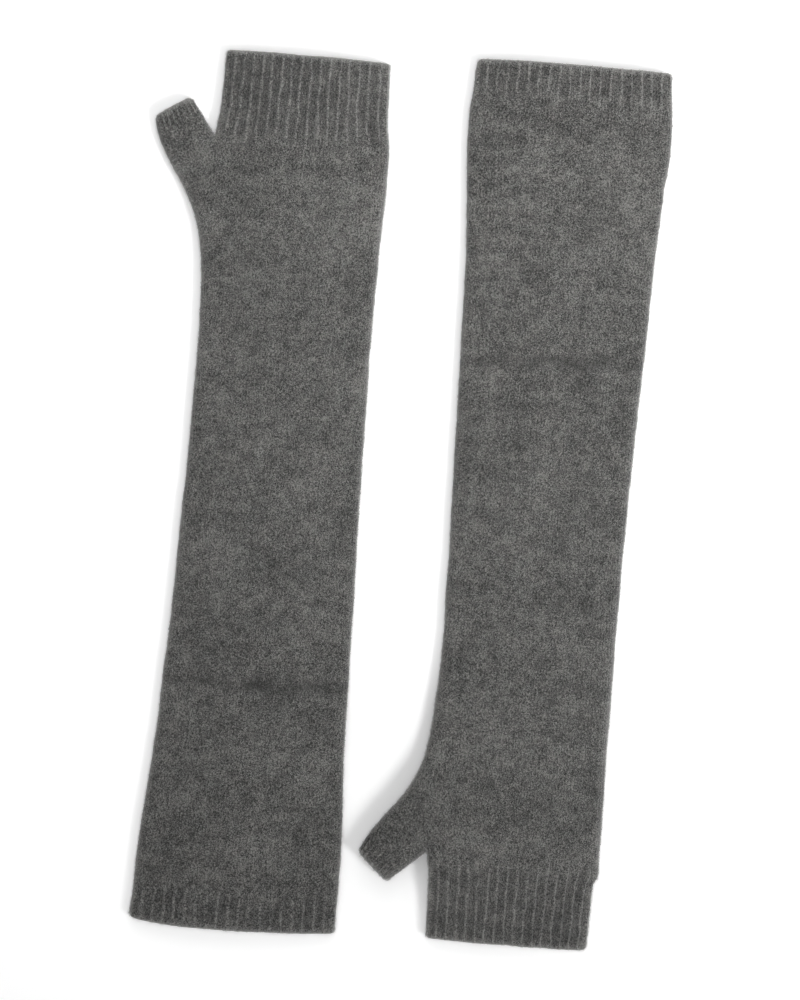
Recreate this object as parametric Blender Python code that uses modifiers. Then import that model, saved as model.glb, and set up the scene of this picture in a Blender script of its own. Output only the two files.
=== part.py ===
"""Pair of long fingerless gloves in fine grey knit, laid flat beside each other with the palms up.

Each glove is a plain sleeve with a ribbed hem at the arm, a ribbed cuff at the fingers and a short thumb
with a fine ribbed edge.  Every knitted section is an open tube of cloth, flattened as it lies on a table,
with a real wall.  Seam ridges run inside the little-finger edge and inside the thumb.  The cuff and the thumb
bend with the hand, so their origins lie on the lines where they fold.
"""

import bisect
import math

import bmesh
import bpy
from mathutils import Vector
from mathutils.geometry import interpolate_bezier

MM = 0.001

# Cloth
JERSEY_WALL = 1.6 * MM
RIB_WALL = 2.0 * MM
RIB_PITCH = 4.6 * MM
RIB_DEPTH = 0.6 * MM
THUMB_RIB_PITCH = 1.55 * MM
THUMB_RIB_DEPTH = 0.35 * MM
RIDGE_SHARE = 0.6                # part of a rib's pitch that is the raised ridge
SEAM_RADIUS = 0.8 * MM
SEAM_END = 1.5 * MM              # a seam stops this far inside its section
GAP = 0.3 * MM                   # between neighbouring pieces

# Lengths along a glove, from the arm opening
GLOVE_LENGTH = 450 * MM
ARM_RIB_HEIGHT = 17 * MM
CROTCH = 405 * MM                # the thumb leaves the hand here
CROTCH_BRIDGE = 2 * MM           # cloth of the sleeve between the crotch and the finger cuff
FLARE_START = 330 * MM           # the sleeve starts to swell into the thumb gusset

# Thumb
THUMB_MOUTH = 21.6 * MM          # flat width of its opening
THUMB_MOUTH_THICKNESS = 10.5 * MM
THUMB_RIB_HEIGHT = 9 * MM
GUSSET_HANDLE = 45 * MM          # how far the gusset's edge first runs on along the sleeve
THUMB_HANDLE = 25 * MM           # how far that edge runs straight before the thumb's mouth
THUMB_BULGE = math.radians(27)   # how far the edge turns in there from the thumb's own direction

# Half of the flat width at stations along a glove, beyond the hem's own
HALF_WIDTHS = (
    (31 * MM, 52.3 * MM),
    (46 * MM, 51.8 * MM),
    (93 * MM, 48.6 * MM),
    (154 * MM, 46.5 * MM),
    (231 * MM, 45.0 * MM),
    (309 * MM, 44.2 * MM),
    (395 * MM, 44.6 * MM),
    (406 * MM, 44.2 * MM),
    (418 * MM, 42.7 * MM),
    (450 * MM, 41.8 * MM),
)

# Thickness of a glove as it lies, at stations along it
THICKNESSES = (
    (0 * MM, 10.0 * MM),
    (60 * MM, 10.0 * MM),
    (250 * MM, 10.5 * MM),
    (340 * MM, 12.5 * MM),
    (406 * MM, 12.5 * MM),
    (425 * MM, 11.0 * MM),
    (450 * MM, 10.5 * MM),
)
EDGE_HEIGHT = 0.42               # height of the folded edge, as a share of the thickness
UPPER_ROUND = 0.62               # width of the upper face's rounding, likewise
LOWER_ROUND = 0.42

# How each glove lies
GLOVES = {
    "left": {
        "thumb_side": -1,
        "place": (-87.0 * MM, -218.5 * MM),
        "turn": math.radians(-4.98),
        "stretch": 0.9965,
        "hem_half_width": 53.2 * MM,
        "drift": -1.2 * MM,
        "thumb_angle": math.radians(35.5),
        "thumb_length": 22.0 * MM,
    },
    "right": {
        "thumb_side": 1,
        "place": (89.8 * MM, 223.4 * MM),
        "turn": math.radians(175.5),
        "stretch": 1.0075,
        "hem_half_width": 50.4 * MM,
        "drift": 0.6 * MM,
        "thumb_angle": math.radians(48),
        "thumb_length": 25.2 * MM,
    },
}

YARN = (0.115, 0.114, 0.110, 1.0)
SEAM_YARN = (0.095, 0.094, 0.091, 1.0)
YARN_ROUGHNESS = 0.95

# How finely the curves are divided
EDGE_STEPS = 4                   # faces from a fold to the flat of a face
SLEEVE_COLUMNS = 6               # faces across the flat
THUMB_COLUMNS = 3
SLEEVE_STEP = 45 * MM            # rows along the sleeve
GUSSET_STEP = 15 * MM            # and along the gusset
CUFF_STEP = 14 * MM              # and along the finger cuff
THUMB_ROWS = 3
GUSSET_POINTS = 48
OUTLINE_STEP = 2 * MM


def smooth_value(stations, at):
    """The value at one place, on a smooth curve through the stations."""
    places = [place for place, _ in stations]
    at = min(max(at, places[0]), places[-1])
    first = min(bisect.bisect_right(places, at), len(stations) - 1) - 1

    def slope(i):
        before = stations[max(i - 1, 0)]
        after = stations[min(i + 1, len(stations) - 1)]
        return (after[1] - before[1]) / (after[0] - before[0])

    start, value = stations[first]
    end, next_value = stations[first + 1]
    span = end - start
    t = (at - start) / span
    bend = slope(first) * (1 - t) - slope(first + 1) * t
    return value + (next_value - value) * t * t * (3 - 2 * t) + bend * span * t * (1 - t)


def crossing(line, at, along, across):
    """Where a line of points, sorted along one axis, stands across it."""
    places = [point[along] for point in line]
    i = min(max(bisect.bisect_right(places, at), 1), len(line) - 1)
    share = (at - places[i - 1]) / (places[i] - places[i - 1])
    return line[i - 1][across] + (line[i][across] - line[i - 1][across]) * share


def spaced(start, end, step):
    """Evenly spaced values from start to end, about a step apart."""
    count = max(1, round((end - start) / step))
    return [start + (end - start) * i / count for i in range(count + 1)]


class Outline:
    """The flat outline of one glove, with x towards the thumb and y towards the fingers."""

    def __init__(self, lay):
        self.side = lay["thumb_side"]
        self.stretch = lay["stretch"]
        self.drift = lay["drift"]
        self.length = GLOVE_LENGTH * self.stretch
        self.half_widths = ((0, lay["hem_half_width"]),) + HALF_WIDTHS
        angle = lay["thumb_angle"]
        self.thumb_length = lay["thumb_length"]
        self.thumb_axis = Vector((math.sin(angle), math.cos(angle)))
        self.thumb_across = Vector((math.cos(angle), -math.sin(angle)))
        crotch_y = CROTCH * self.stretch
        self.crotch = Vector((self.thumb_side_fold(crotch_y), crotch_y))
        self.cuff_start = crotch_y + CROTCH_BRIDGE
        self.gusset = self.gusset_edge(angle - THUMB_BULGE)
        self.thumb_side = [self.thumb_coordinates(point) for point in self.gusset]
        self.gusset_top = self.crotch + self.thumb_across * self.thumb_width(0)
        self.folds = self.fold_lines()

    def centre(self, y):
        return self.drift * math.sin(math.pi * y / self.length)

    def half_width(self, y):
        return smooth_value(self.half_widths, y / self.stretch)

    def thickness(self, y):
        return smooth_value(THICKNESSES, y / self.stretch)

    def little_side_fold(self, y):
        return self.centre(y) - self.half_width(y)

    def thumb_side_fold(self, y):
        return self.centre(y) + self.half_width(y)

    def gusset_edge(self, mouth_angle):
        """The edge of gusset and thumb, from the sleeve to the outer corner of the thumb's mouth."""
        flare_y = FLARE_START * self.stretch
        start = Vector((self.thumb_side_fold(flare_y), flare_y))
        end = self.thumb_point(self.thumb_length, THUMB_MOUTH)
        start_handle = start + Vector((0, GUSSET_HANDLE))
        end_handle = end - THUMB_HANDLE * Vector((math.sin(mouth_angle), math.cos(mouth_angle)))
        return interpolate_bezier(start, start_handle, end_handle, end, GUSSET_POINTS)

    def thumb_point(self, along, across):
        return self.crotch + self.thumb_axis * along + self.thumb_across * across

    def thumb_coordinates(self, point):
        """A point as its distances along the thumb and across it, from the crotch."""
        away = point - self.crotch
        return (away.dot(self.thumb_axis), away.dot(self.thumb_across))

    def thumb_width(self, along):
        return crossing(self.thumb_side, along, 0, 1)

    def thumb_thickness(self, along, across):
        """From the hand's thickness at the thumb's base to its own at the mouth."""
        base = self.thickness(self.thumb_point(0, across).y)
        return base + (THUMB_MOUTH_THICKNESS - base) * along / self.thumb_length

    def sleeve_edge(self, y):
        """The sleeve's border on the thumb side: its fold, the gusset's, then the thumb's base line."""
        if y <= self.gusset[0].y or y >= self.crotch.y:
            return self.thumb_side_fold(y)
        if y <= self.gusset_top.y:
            return crossing(self.gusset, y, 1, 0)
        share = (y - self.gusset_top.y) / (self.crotch.y - self.gusset_top.y)
        return self.gusset_top.lerp(self.crotch, share).x

    def fold_lines(self):
        """The folded edges as lines of points, without the openings, where the two faces stay apart."""
        thumb_line = [
            Vector((self.thumb_side_fold(y), y)) for y in spaced(0, self.gusset[0].y, OUTLINE_STEP)
        ]
        cuff_line = [
            Vector((self.thumb_side_fold(y), y)) for y in spaced(self.crotch.y, self.length, OUTLINE_STEP)
        ]
        little_line = [
            Vector((self.little_side_fold(y), y)) for y in spaced(0, self.length, OUTLINE_STEP)
        ]
        thumb_tip = self.thumb_point(self.thumb_length, 0)
        return (thumb_line + self.gusset[1:], [thumb_tip] + cuff_line, little_line)

    def fold_distance(self, point):
        nearest = math.inf
        for line in self.folds:
            for start, end in zip(line, line[1:]):
                run = end - start
                share = min(max((point - start).dot(run) / run.length_squared, 0), 1)
                nearest = min(nearest, (point - start - run * share).length)
        return nearest

    def faces(self, point, thickness, on_fold=False, groove=0):
        """The points of the upper and the lower face over one place of the outline.

        The faces meet at a fold, round away from it and run flat. A groove sinks both.
        """
        fold = EDGE_HEIGHT * thickness
        distance = 0 if on_fold else self.fold_distance(point)
        upper = 1 - min(distance / (UPPER_ROUND * thickness), 1)
        lower = 1 - min(distance / (LOWER_ROUND * thickness), 1)
        over = fold + (thickness - fold) * math.sqrt(1 - upper * upper) - groove
        under = fold * (1 - math.sqrt(1 - lower * lower)) + groove
        x = self.side * point.x
        return (Vector((x, point.y, over)), Vector((x, point.y, under)))


def face_columns(start, end, rounding, flat_places):
    """Places across a face from one fold to the other, close together where it rounds.

    Each place comes with the depth of its groove; flat_places gives those of the flat between the roundings.
    """
    way = math.copysign(rounding, end - start)
    steps = [1 - math.cos(math.pi / 2 * i / EDGE_STEPS) for i in range(EDGE_STEPS)]
    near = [(start + way * step, 0) for step in steps]
    far = [(end - way * step, 0) for step in reversed(steps)]
    first = start + way
    last = end - way
    flat = [(first + (last - first) * share, groove) for share, groove in flat_places]
    return near + flat + far


def plain_places(columns):
    return [(i / columns, 0) for i in range(columns + 1)]


def ribbed_places(width, pitch, depth):
    """Ribs across a flat width, as shares of it: ridges with a groove between each two."""
    grooves = round(width / pitch)
    step = 1 / (grooves + RIDGE_SHARE)
    places = []
    for i in range(grooves + 1):
        places.append((step * i, 0))
        places.append((step * (i + RIDGE_SHARE), 0))
        places.append((step * (i + (1 + RIDGE_SHARE) / 2), depth))
    return places[:-1]


def section_rows(outline, rows, flat_places):
    """The two faces of a section across the glove, from the thumb's side to the little finger's."""
    faces = []
    for y in rows:
        thickness = outline.thickness(y)
        rounding = UPPER_ROUND * thickness
        columns = face_columns(outline.sleeve_edge(y), outline.little_side_fold(y), rounding, flat_places)
        at_thumb_hole = outline.gusset_top.y + GAP < y < outline.crotch.y - GAP
        row = []
        for i, (x, groove) in enumerate(columns):
            on_fold = i == len(columns) - 1 or (i == 0 and not at_thumb_hole)
            row.append(outline.faces(Vector((x, y)), thickness, on_fold, groove))
        faces.append(row)
    return faces


def thumb_rows(outline, rows, flat_places):
    """The two faces of a section of the thumb, from its outer fold to the one beside the fingers."""
    faces = []
    for along in rows:
        rounding = UPPER_ROUND * THUMB_MOUTH_THICKNESS
        columns = face_columns(outline.thumb_width(along), GAP, rounding, flat_places)
        row = []
        for i, (across, groove) in enumerate(columns):
            on_fold = i in (0, len(columns) - 1)
            thickness = outline.thumb_thickness(along, across)
            row.append(outline.faces(outline.thumb_point(along, across), thickness, on_fold, groove))
        faces.append(row)
    return faces


def add_piece(name, data, glove, pivot, colour):
    """Puts a piece on its glove, with its origin at the pivot and its own material."""
    material = bpy.data.materials.new(name + "_yarn")
    material.use_nodes = True
    shader = material.node_tree.nodes["Principled BSDF"]
    shader.inputs["Base Color"].default_value = colour
    shader.inputs["Roughness"].default_value = YARN_ROUGHNESS
    shader.inputs["Metallic"].default_value = 0.0
    data.materials.append(material)
    piece = bpy.data.objects.new(name, data)
    piece.parent = glove
    piece.location = pivot
    parts.objects.link(piece)
    return piece


def add_tube(name, glove, pivot, rows, wall):
    """An open tube of cloth: a grid over the upper faces and back under the lower ones."""
    across = 2 * len(rows[0]) - 1
    grid = bmesh.new()
    bmesh.ops.create_grid(grid, x_segments=across - 1, y_segments=len(rows) - 1, size=1)
    grid.verts.ensure_lookup_table()
    for i, row in enumerate(rows):
        over = [upper for upper, _ in row]
        under = [lower for _, lower in reversed(row[:-1])]
        for j, point in enumerate(over + under):
            grid.verts[i * across + j].co = point - pivot
    bmesh.ops.remove_doubles(grid, verts=grid.verts, dist=0.001 * MM)
    bmesh.ops.recalc_face_normals(grid, faces=grid.faces)
    highest = max(grid.faces, key=lambda face: face.calc_center_median().z)
    if highest.normal.z < 0:
        bmesh.ops.reverse_faces(grid, faces=grid.faces)
    mesh = bpy.data.meshes.new(name)
    grid.to_mesh(mesh)
    grid.free()
    mesh.shade_smooth()
    tube = add_piece(name, mesh, glove, pivot, YARN)
    cloth = tube.modifiers.new("cloth", "SOLIDIFY")
    cloth.thickness = wall
    cloth.offset = -1
    cloth.use_quality_normals = True


def add_seam(name, glove, pivot, points):
    """A linked seam: a round ridge along its points."""
    curve = bpy.data.curves.new(name, "CURVE")
    curve.dimensions = "3D"
    curve.bevel_depth = SEAM_RADIUS
    curve.bevel_resolution = 1
    curve.use_fill_caps = True
    spline = curve.splines.new("POLY")
    spline.points.add(len(points) - 1)
    for knot, point in zip(spline.points, points):
        knot.co = (*(point - pivot), 1)
    add_piece(name, curve, glove, pivot, SEAM_YARN)


def sleeve_stations(outline):
    straight = spaced(ARM_RIB_HEIGHT + GAP, outline.gusset[0].y, SLEEVE_STEP)
    gusset = spaced(outline.gusset[0].y, outline.gusset_top.y, GUSSET_STEP)
    thumb_hole = spaced(outline.gusset_top.y, outline.crotch.y, GUSSET_STEP / 3)
    return straight + gusset[1:] + thumb_hole[1:] + [outline.cuff_start]


def add_sleeve(name, outline, glove, origin):
    faces = section_rows(outline, sleeve_stations(outline), plain_places(SLEEVE_COLUMNS))
    add_tube(name, glove, origin, faces, JERSEY_WALL)


def add_arm_rib(name, outline, glove, origin):
    width = 2 * (outline.half_width(0) - UPPER_ROUND * outline.thickness(0))
    rows = spaced(0, ARM_RIB_HEIGHT, ARM_RIB_HEIGHT / 2)
    faces = section_rows(outline, rows, ribbed_places(width, RIB_PITCH, RIB_DEPTH))
    add_tube(name, glove, origin, faces, RIB_WALL)


def add_finger_rib(name, outline, glove, pivot):
    width = 2 * (outline.half_width(outline.length) - UPPER_ROUND * outline.thickness(outline.length))
    rows = spaced(outline.cuff_start + GAP, outline.length, CUFF_STEP)
    faces = section_rows(outline, rows, ribbed_places(width, RIB_PITCH, RIB_DEPTH))
    add_tube(name, glove, pivot, faces, RIB_WALL)


def add_thumb(name, outline, glove, pivot):
    rib_start = outline.thumb_length - THUMB_RIB_HEIGHT
    tube_rows = spaced(GAP, rib_start - GAP, rib_start / THUMB_ROWS)
    tube_faces = thumb_rows(outline, tube_rows, plain_places(THUMB_COLUMNS))
    add_tube(name + "_tube", glove, pivot, tube_faces, JERSEY_WALL)
    width = THUMB_MOUTH - 2 * UPPER_ROUND * THUMB_MOUTH_THICKNESS
    rib_rows = spaced(rib_start, outline.thumb_length, THUMB_RIB_HEIGHT / 2)
    rib_faces = thumb_rows(outline, rib_rows, ribbed_places(width, THUMB_RIB_PITCH, THUMB_RIB_DEPTH))
    add_tube(name + "_rib", glove, pivot, rib_faces, RIB_WALL)


def fold_side_points(outline, rows, wall):
    """Points just inside the cloth along the little-finger fold."""
    points = []
    for y in rows:
        x = outline.little_side_fold(y) + wall + GAP + SEAM_RADIUS
        points.append(Vector((outline.side * x, y, EDGE_HEIGHT * outline.thickness(y))))
    return points


def thumb_seam_points(outline):
    points = []
    rows = spaced(SEAM_END, outline.thumb_length - SEAM_END, THUMB_RIB_HEIGHT / 2)
    for along in rows:
        across = outline.thumb_width(along) - RIB_WALL - GAP - SEAM_RADIUS
        place = outline.thumb_point(along, across)
        height = EDGE_HEIGHT * outline.thumb_thickness(along, across)
        points.append(Vector((outline.side * place.x, place.y, height)))
    return points


def build_glove(hand, lay):
    outline = Outline(lay)
    glove = bpy.data.objects.new(hand + "_glove", None)
    parts.objects.link(glove)
    glove.location = (*lay["place"], 0)
    glove.rotation_euler = (0, 0, lay["turn"])

    origin = Vector((0, 0, 0))
    add_sleeve(hand + "_sleeve", outline, glove, origin)
    add_arm_rib(hand + "_arm_rib", outline, glove, origin)
    arm_end = fold_side_points(outline, [SEAM_END, ARM_RIB_HEIGHT / 2, ARM_RIB_HEIGHT], RIB_WALL)
    sleeve_part = fold_side_points(outline, sleeve_stations(outline)[1:-1], JERSEY_WALL)
    add_seam(hand + "_side_seam", glove, origin, arm_end + sleeve_part)

    knuckles = outline.cuff_start + GAP / 2
    knuckle_line = Vector((0, knuckles, outline.thickness(knuckles) + GAP))
    add_finger_rib(hand + "_finger_rib", outline, glove, knuckle_line)
    seam_rows = spaced(knuckles + SEAM_END, outline.length - SEAM_END, CUFF_STEP)
    cuff_part = fold_side_points(outline, seam_rows, RIB_WALL)
    add_seam(hand + "_cuff_seam", glove, knuckle_line, cuff_part)

    thumb_base = outline.thumb_point(GAP / 2, outline.thumb_width(0) / 2)
    base_height = outline.thickness(thumb_base.y) + GAP
    thumb_line = Vector((outline.side * thumb_base.x, thumb_base.y, base_height))
    add_thumb(hand + "_thumb", outline, glove, thumb_line)
    add_seam(hand + "_thumb_seam", glove, thumb_line, thumb_seam_points(outline))


for old in list(bpy.data.objects):
    bpy.data.objects.remove(old)

parts = bpy.data.collections.new("fingerless_gloves")
bpy.context.scene.collection.children.link(parts)

for hand, lay in GLOVES.items():
    build_glove(hand, lay)
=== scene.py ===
import math

import bpy
import numpy as np
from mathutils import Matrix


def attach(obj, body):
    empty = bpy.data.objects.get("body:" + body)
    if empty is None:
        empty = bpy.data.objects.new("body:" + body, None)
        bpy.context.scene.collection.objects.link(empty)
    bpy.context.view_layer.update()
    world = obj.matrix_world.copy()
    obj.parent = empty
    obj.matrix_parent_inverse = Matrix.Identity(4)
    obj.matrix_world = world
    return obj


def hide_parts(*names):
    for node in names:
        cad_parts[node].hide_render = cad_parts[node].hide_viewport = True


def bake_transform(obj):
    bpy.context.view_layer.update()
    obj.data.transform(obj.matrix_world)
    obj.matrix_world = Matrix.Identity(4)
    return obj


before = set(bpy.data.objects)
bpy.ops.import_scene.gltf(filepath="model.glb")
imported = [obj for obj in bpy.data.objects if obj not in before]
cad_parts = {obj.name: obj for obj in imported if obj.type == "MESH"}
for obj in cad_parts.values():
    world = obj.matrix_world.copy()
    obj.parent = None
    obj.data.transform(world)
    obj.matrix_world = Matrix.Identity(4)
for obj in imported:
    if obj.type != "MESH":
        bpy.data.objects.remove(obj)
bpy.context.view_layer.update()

MM = 0.001

# Cloth
JERSEY_WALL = 1.6 * MM
RIB_WALL = 2.0 * MM
SEAM_RADIUS = 0.8 * MM
SEAM_END = 1.5 * MM              # how far a seam stops short of an edge
GAP = 0.3 * MM                   # between one solid and the next, where the cloth runs on

# Lengths along a glove, from the arm opening
GLOVE_LENGTH = 450 * MM
ARM_RIB_HEIGHT = 17 * MM
ARM_TOP = ARM_RIB_HEIGHT + GAP / 2   # where the arm rib meets the sleeve
FLARE_START = 330 * MM           # where the gusset starts to widen
CROTCH = 405 * MM                # where the thumb leaves the hand
CROTCH_BRIDGE = 2 * MM           # plain cloth between the crotch and the finger cuff

# Thumb
THUMB_MOUTH = 21.6 * MM
THUMB_MOUTH_THICKNESS = 10.5 * MM
THUMB_RIB_HEIGHT = 9 * MM
GUSSET_HANDLE = 45 * MM          # of the edge's curve, where the gusset starts
THUMB_HANDLE = 25 * MM           # of the same curve, at the thumb's mouth
THUMB_BULGE = math.radians(27)   # how far the curve turns in there from the thumb's own direction

# Half of the flat width at stations along a glove, beyond the hem's own
HALF_WIDTHS = (
    (31 * MM, 52.3 * MM),
    (46 * MM, 51.8 * MM),
    (93 * MM, 48.6 * MM),
    (154 * MM, 46.5 * MM),
    (231 * MM, 45.0 * MM),
    (309 * MM, 44.2 * MM),
    (395 * MM, 44.6 * MM),
    (406 * MM, 44.2 * MM),
    (418 * MM, 42.7 * MM),
    (450 * MM, 41.8 * MM),
)

# Thickness of a glove as it lies, at stations along it
THICKNESSES = (
    (0 * MM, 10.0 * MM),
    (60 * MM, 10.0 * MM),
    (250 * MM, 10.5 * MM),
    (340 * MM, 12.5 * MM),
    (406 * MM, 12.5 * MM),
    (425 * MM, 11.0 * MM),
    (450 * MM, 10.5 * MM),
)
EDGE_HEIGHT = 0.32               # height of a fold, as a share of the thickness
UPPER_ROUND = 0.48               # how far in from a fold the upper face is round, as such a share
LOWER_ROUND = 0.38               # the same for the lower face
SHOULDER = 0.72                  # height of the upper face next to a fold, as such a share
CROWN_REACH = 32 * MM            # how far from a fold the upper face has its full height

# How each glove lies. A crease that a storage fold left has its place along the glove, its depth, its slant
# over half of the width, and its ends across, from -1 at the little finger's fold to 1 at the thumb's.
GLOVES = {
    "left": {
        "thumb_side": -1,
        "place": (-87.0 * MM, -218.5 * MM),
        "turn": math.radians(-4.98),
        "stretch": 0.9965,
        "hem_half_width": 53.2 * MM,
        "drift": -1.2 * MM,      # how far its middle bows towards the thumb's side
        "thumb_angle": math.radians(35.5),
        "thumb_length": 22.0 * MM,
        "hem_bow": 3.0 * MM,     # how far the arm hem bows out
        "mouth_reach": (1.8 * MM, 2.9 * MM),    # of the inner and the outer corner of the thumb's mouth
        "cuff_step": 0.2 * MM,   # outwards at the cuff's start, on the little finger's side
        "hand_out": 1.2 * MM,    # how much wider the hand is on that side
        "thumb_rise": 0 * MM,    # how high the thumb's side stands off the table
        "creases": (
            (122.8 * MM, 0.65 * MM, -3 * MM, (-1.1, 0.3)),
            (123.6 * MM, 0.5 * MM, 0 * MM, (-0.2, 1.1)),
        ),
        "rib_fade": (-9 * MM, 9 * MM),          # where the cuff's ribs come up, past the crotch
        "seed": 11,
    },
    "right": {
        "thumb_side": 1,
        "place": (89.8 * MM, 223.4 * MM),
        "turn": math.radians(175.5),
        "stretch": 1.0075,
        "hem_half_width": 50.4 * MM,
        "drift": 0.6 * MM,
        "thumb_angle": math.radians(48),
        "thumb_length": 25.2 * MM,
        "hem_bow": 0.2 * MM,
        "mouth_reach": (1.2 * MM, 3.4 * MM),
        "cuff_step": 1.4 * MM,
        "hand_out": -0.4 * MM,
        "thumb_rise": 4.2 * MM,
        "creases": (
            (153.2 * MM, 0.75 * MM, 2 * MM, (-1.1, 1.1)),
            (160 * MM, 0.2 * MM, -6 * MM, (-0.9, 0.1)),
        ),
        "rib_fade": (-3 * MM, 11 * MM),
        "seed": 23,
    },
}

# Knitting
WALES = 60                       # columns of stitches across a face
COURSE = 1.2 * MM                # height of a row of stitches
WALE_DEPTH = 0.16 * MM
UNEVEN = 0.06 * MM               # how far single stitches stand out or sink in
ARM_RIBS = 20                    # across a face
FINGER_RIBS = 18
THUMB_WALES = 14
THUMB_RIBS = 10
RIB_DEPTH = 0.9 * MM
RIB_SHARPNESS = 0.09             # width of a ridge, as a share of the pitch
RIB_WAVER = 0.1                  # how far a rib strays sideways, as a share of the pitch
ARM_RIB_FADE = 4 * MM            # how far the ribs fade on either side of the hem's end
THUMB_RIB_DEPTH = 0.7 * MM
THUMB_RIB_WAVER = 0.08
STITCH_SIZE = 1.5 * MM           # width of a stitch in the pattern's own coordinates

# Looseness of the cloth
UPPER_FACE = (0.35, 0.62)        # shares of the thickness between which a fold becomes the upper face
SWELL = 0.27 * MM                # slow rise and fall of the upper face
LONG_SWELL = (34 * MM, 46 * MM)  # across and along a glove
SHORT_SWELL = (15 * MM, 19 * MM)
EDGE_WOBBLE = 0.35 * MM
LONG_WOBBLE = 21 * MM
SHORT_WOBBLE = 6 * MM
WRIST = 342 * MM                 # the thumb's side is a little fuller round here
WRIST_OUT = 1.7 * MM
WRIST_LENGTH = 24 * MM
FOREARM = 140 * MM               # the little finger's side is a little fuller round here
FOREARM_OUT = 0.9 * MM
FOREARM_LENGTH = 70 * MM
STEP_START = (-8 * MM, 5 * MM)   # past the knuckles, where the cuff's step comes
STEP_END = (5.5 * MM, 9 * MM)    # and where it goes
RISE_START = (-48 * MM, -8 * MM)  # along the thumb, where its raised side leaves the table
RISE_END = (8 * MM, 36 * MM)     # past the crotch, where that comes down again
FOLD_SMOOTHING = 0.75            # how much of the knitting's relief the folds press flat
CORNER_RADIUS = 2.0 * MM
CORNER_REACH = 7 * MM            # how far from an opening its corners draw in
HEM_REACH = 40 * MM              # how far the bowed hem pulls the rows above it
HEM_WAVE = 0.3 * MM
HEM_WAVE_LENGTH = 9 * MM
CREASE_WIDTH = 2.6 * MM
CREASE_WANDER = 1.2 * MM         # how far a crease strays from its line
BANK_PLACE = 2.2 * CREASE_WIDTH  # of the low bank beside a crease
BANK_WIDTH = 2 * CREASE_WIDTH
BANK_HEIGHT = 0.35               # as a share of the crease's depth
CREASE_REACH = 11 * MM           # rows of the cloth lie closer this near to a crease
CUFF_BEND = 15 * MM              # length of cloth past a cuff's hinge line; nothing here makes it bend
THUMB_BEND = 12 * MM             # and past a thumb's

# Brushed surface, and the painted light and shade in the cloth's colour
FUZZY_AND_PAINTED_RIM = 5 * MM               # how far from an opening its edge is fuzzy and has painted light
CREASE_PRESS_AND_SHADE_WIDTH = 3.6 * MM         # of the band along a crease where the nap is thinned and painted shade darkens the cloth
CREASE_PRESS_AND_SHADE = 1.9 / MM               # how much nap is taken away and how dark the painted shade is there, for the crease's depth
NAP_PRESSED = 0.6                # share of the nap that a crease takes away
NAP_BELOW = 0.2                  # share of the nap on the face that lies on the table
HALO_BELOW = 0.012               # loose hairs on the face that lies on the table
HALO_ABOVE = 0.02                # what the upper face adds
HALO_FOLD = 1.4                  # what a fold adds
HALO_MOUTH = 1.2                 # loose hairs near a mouth
HALO_LIP = 2.8                   # what the very edge adds
# Painted light and shade in the cloth's colour: lighter ridges, folds and mouths, darker furrows
PAINTED_RIDGE_LIGHT = 0.9                # how much lighter ridges of rib are, as a painted highlight
RIDGE_BREAKS = 0.7               # how much that varies
FURROW_LIGHT = 0.5               # how much lighter furrows of rib are than the painted shade of their depth alone
PAINTED_FOLD_LIGHT = 0.9                 # how much painted light the folds get
PAINTED_THUMB_SIDE_LIGHT = 2.1           # what the thumb's side adds to that painted light
PAINTED_MOUTH_LIGHT = 3                  # how much painted light the mouths' edges get
THUMB_SHADE = 0.35               # how much darker a thumb is
PAINTED_THUMB_FOLD_LIGHT = 0.2           # how much of the folds' painted light a thumb has
PAINTED_THUMB_MOUTH_LIGHT = 1.6

# How finely the cloth is divided
UPPER_COLUMNS = 300
LOWER_COLUMNS = 150
INNER_SHARE = 10                 # upper columns to one column of the inner wall
THUMB_UPPER = 120
THUMB_LOWER = 60
DENSE = 150                      # points across a row before they are evenly spaced
SLEEVE_STEP = 2.4 * MM           # between rows
CREASE_STEP = 1.1 * MM
RIB_STEP = 0.8 * MM
THUMB_STEP = 0.6 * MM
OUTLINE_STEP = 2 * MM            # between points of a fold or a seam
LIP_TURNS = (math.radians(45), math.radians(90), math.radians(135))     # from outer face to inner at a mouth

# Colours, as linear light
YARN_DARK = (0.0233, 0.0233, 0.0229)
YARN_COOL = (0.253, 0.262, 0.249)
YARN_WARM = (0.273, 0.257, 0.244)
NAP_DARK = (0.058, 0.058, 0.057)
NAP_LIGHT = (0.3, 0.296, 0.284)
# The halo's hairs vary at random and are paler than the nap: the paleness is painted light on folds and
# mouths
HALO_DARK = (0.24, 0.238, 0.232)
HALO_LIGHT = (0.61, 0.606, 0.593)
SEAM_YARN = (0.079, 0.078, 0.076)
# The binding edge is paler than the yarn: painted light on the mouths' lips
EDGE_YARN_PAINTED_LIGHT = (0.34, 0.337, 0.325)
FLOOR_PALE = (0.97, 0.97, 0.97)
YARN_ROUGHNESS = 0.95
STITCH_SHADE_SHARE = 0.18              # how much of the light and dark is painted shade between the stitches and painted light on their legs

# Camera and light
VIEW_HEIGHT = 514.3 * MM         # of the picture, at the cloth's level
LENS = 100
SENSOR = 36
VIEW_LEVEL = 6 * MM
VIEW_CENTRE = (-0.4 * MM, 0.1 * MM)
WORLD_LIGHT = 0.414              # where a strength of 1 is white
FLOOR_FILL = 0.37                # the floor's own light near the gloves, as the camera sees it
FAR_FILL = 0.62                  # and far from them
FAR_START = 200 * MM
FAR_RISE = 2                     # for each metre
SHADE_PLACE = (10 * MM, -160 * MM)  # beside the raised thumb, where the floor keeps more of the shadow
SHADE_REACH = (76 * MM, 88 * MM)
SHADE_FADE = 40 * MM
SHADE_DEPTH = 0.1675             # how much less fill there is in its middle
SHADE_SLOPE = (0.75, 1)          # how that grows, for each metre


# Smooth values, noise and rows

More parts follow.
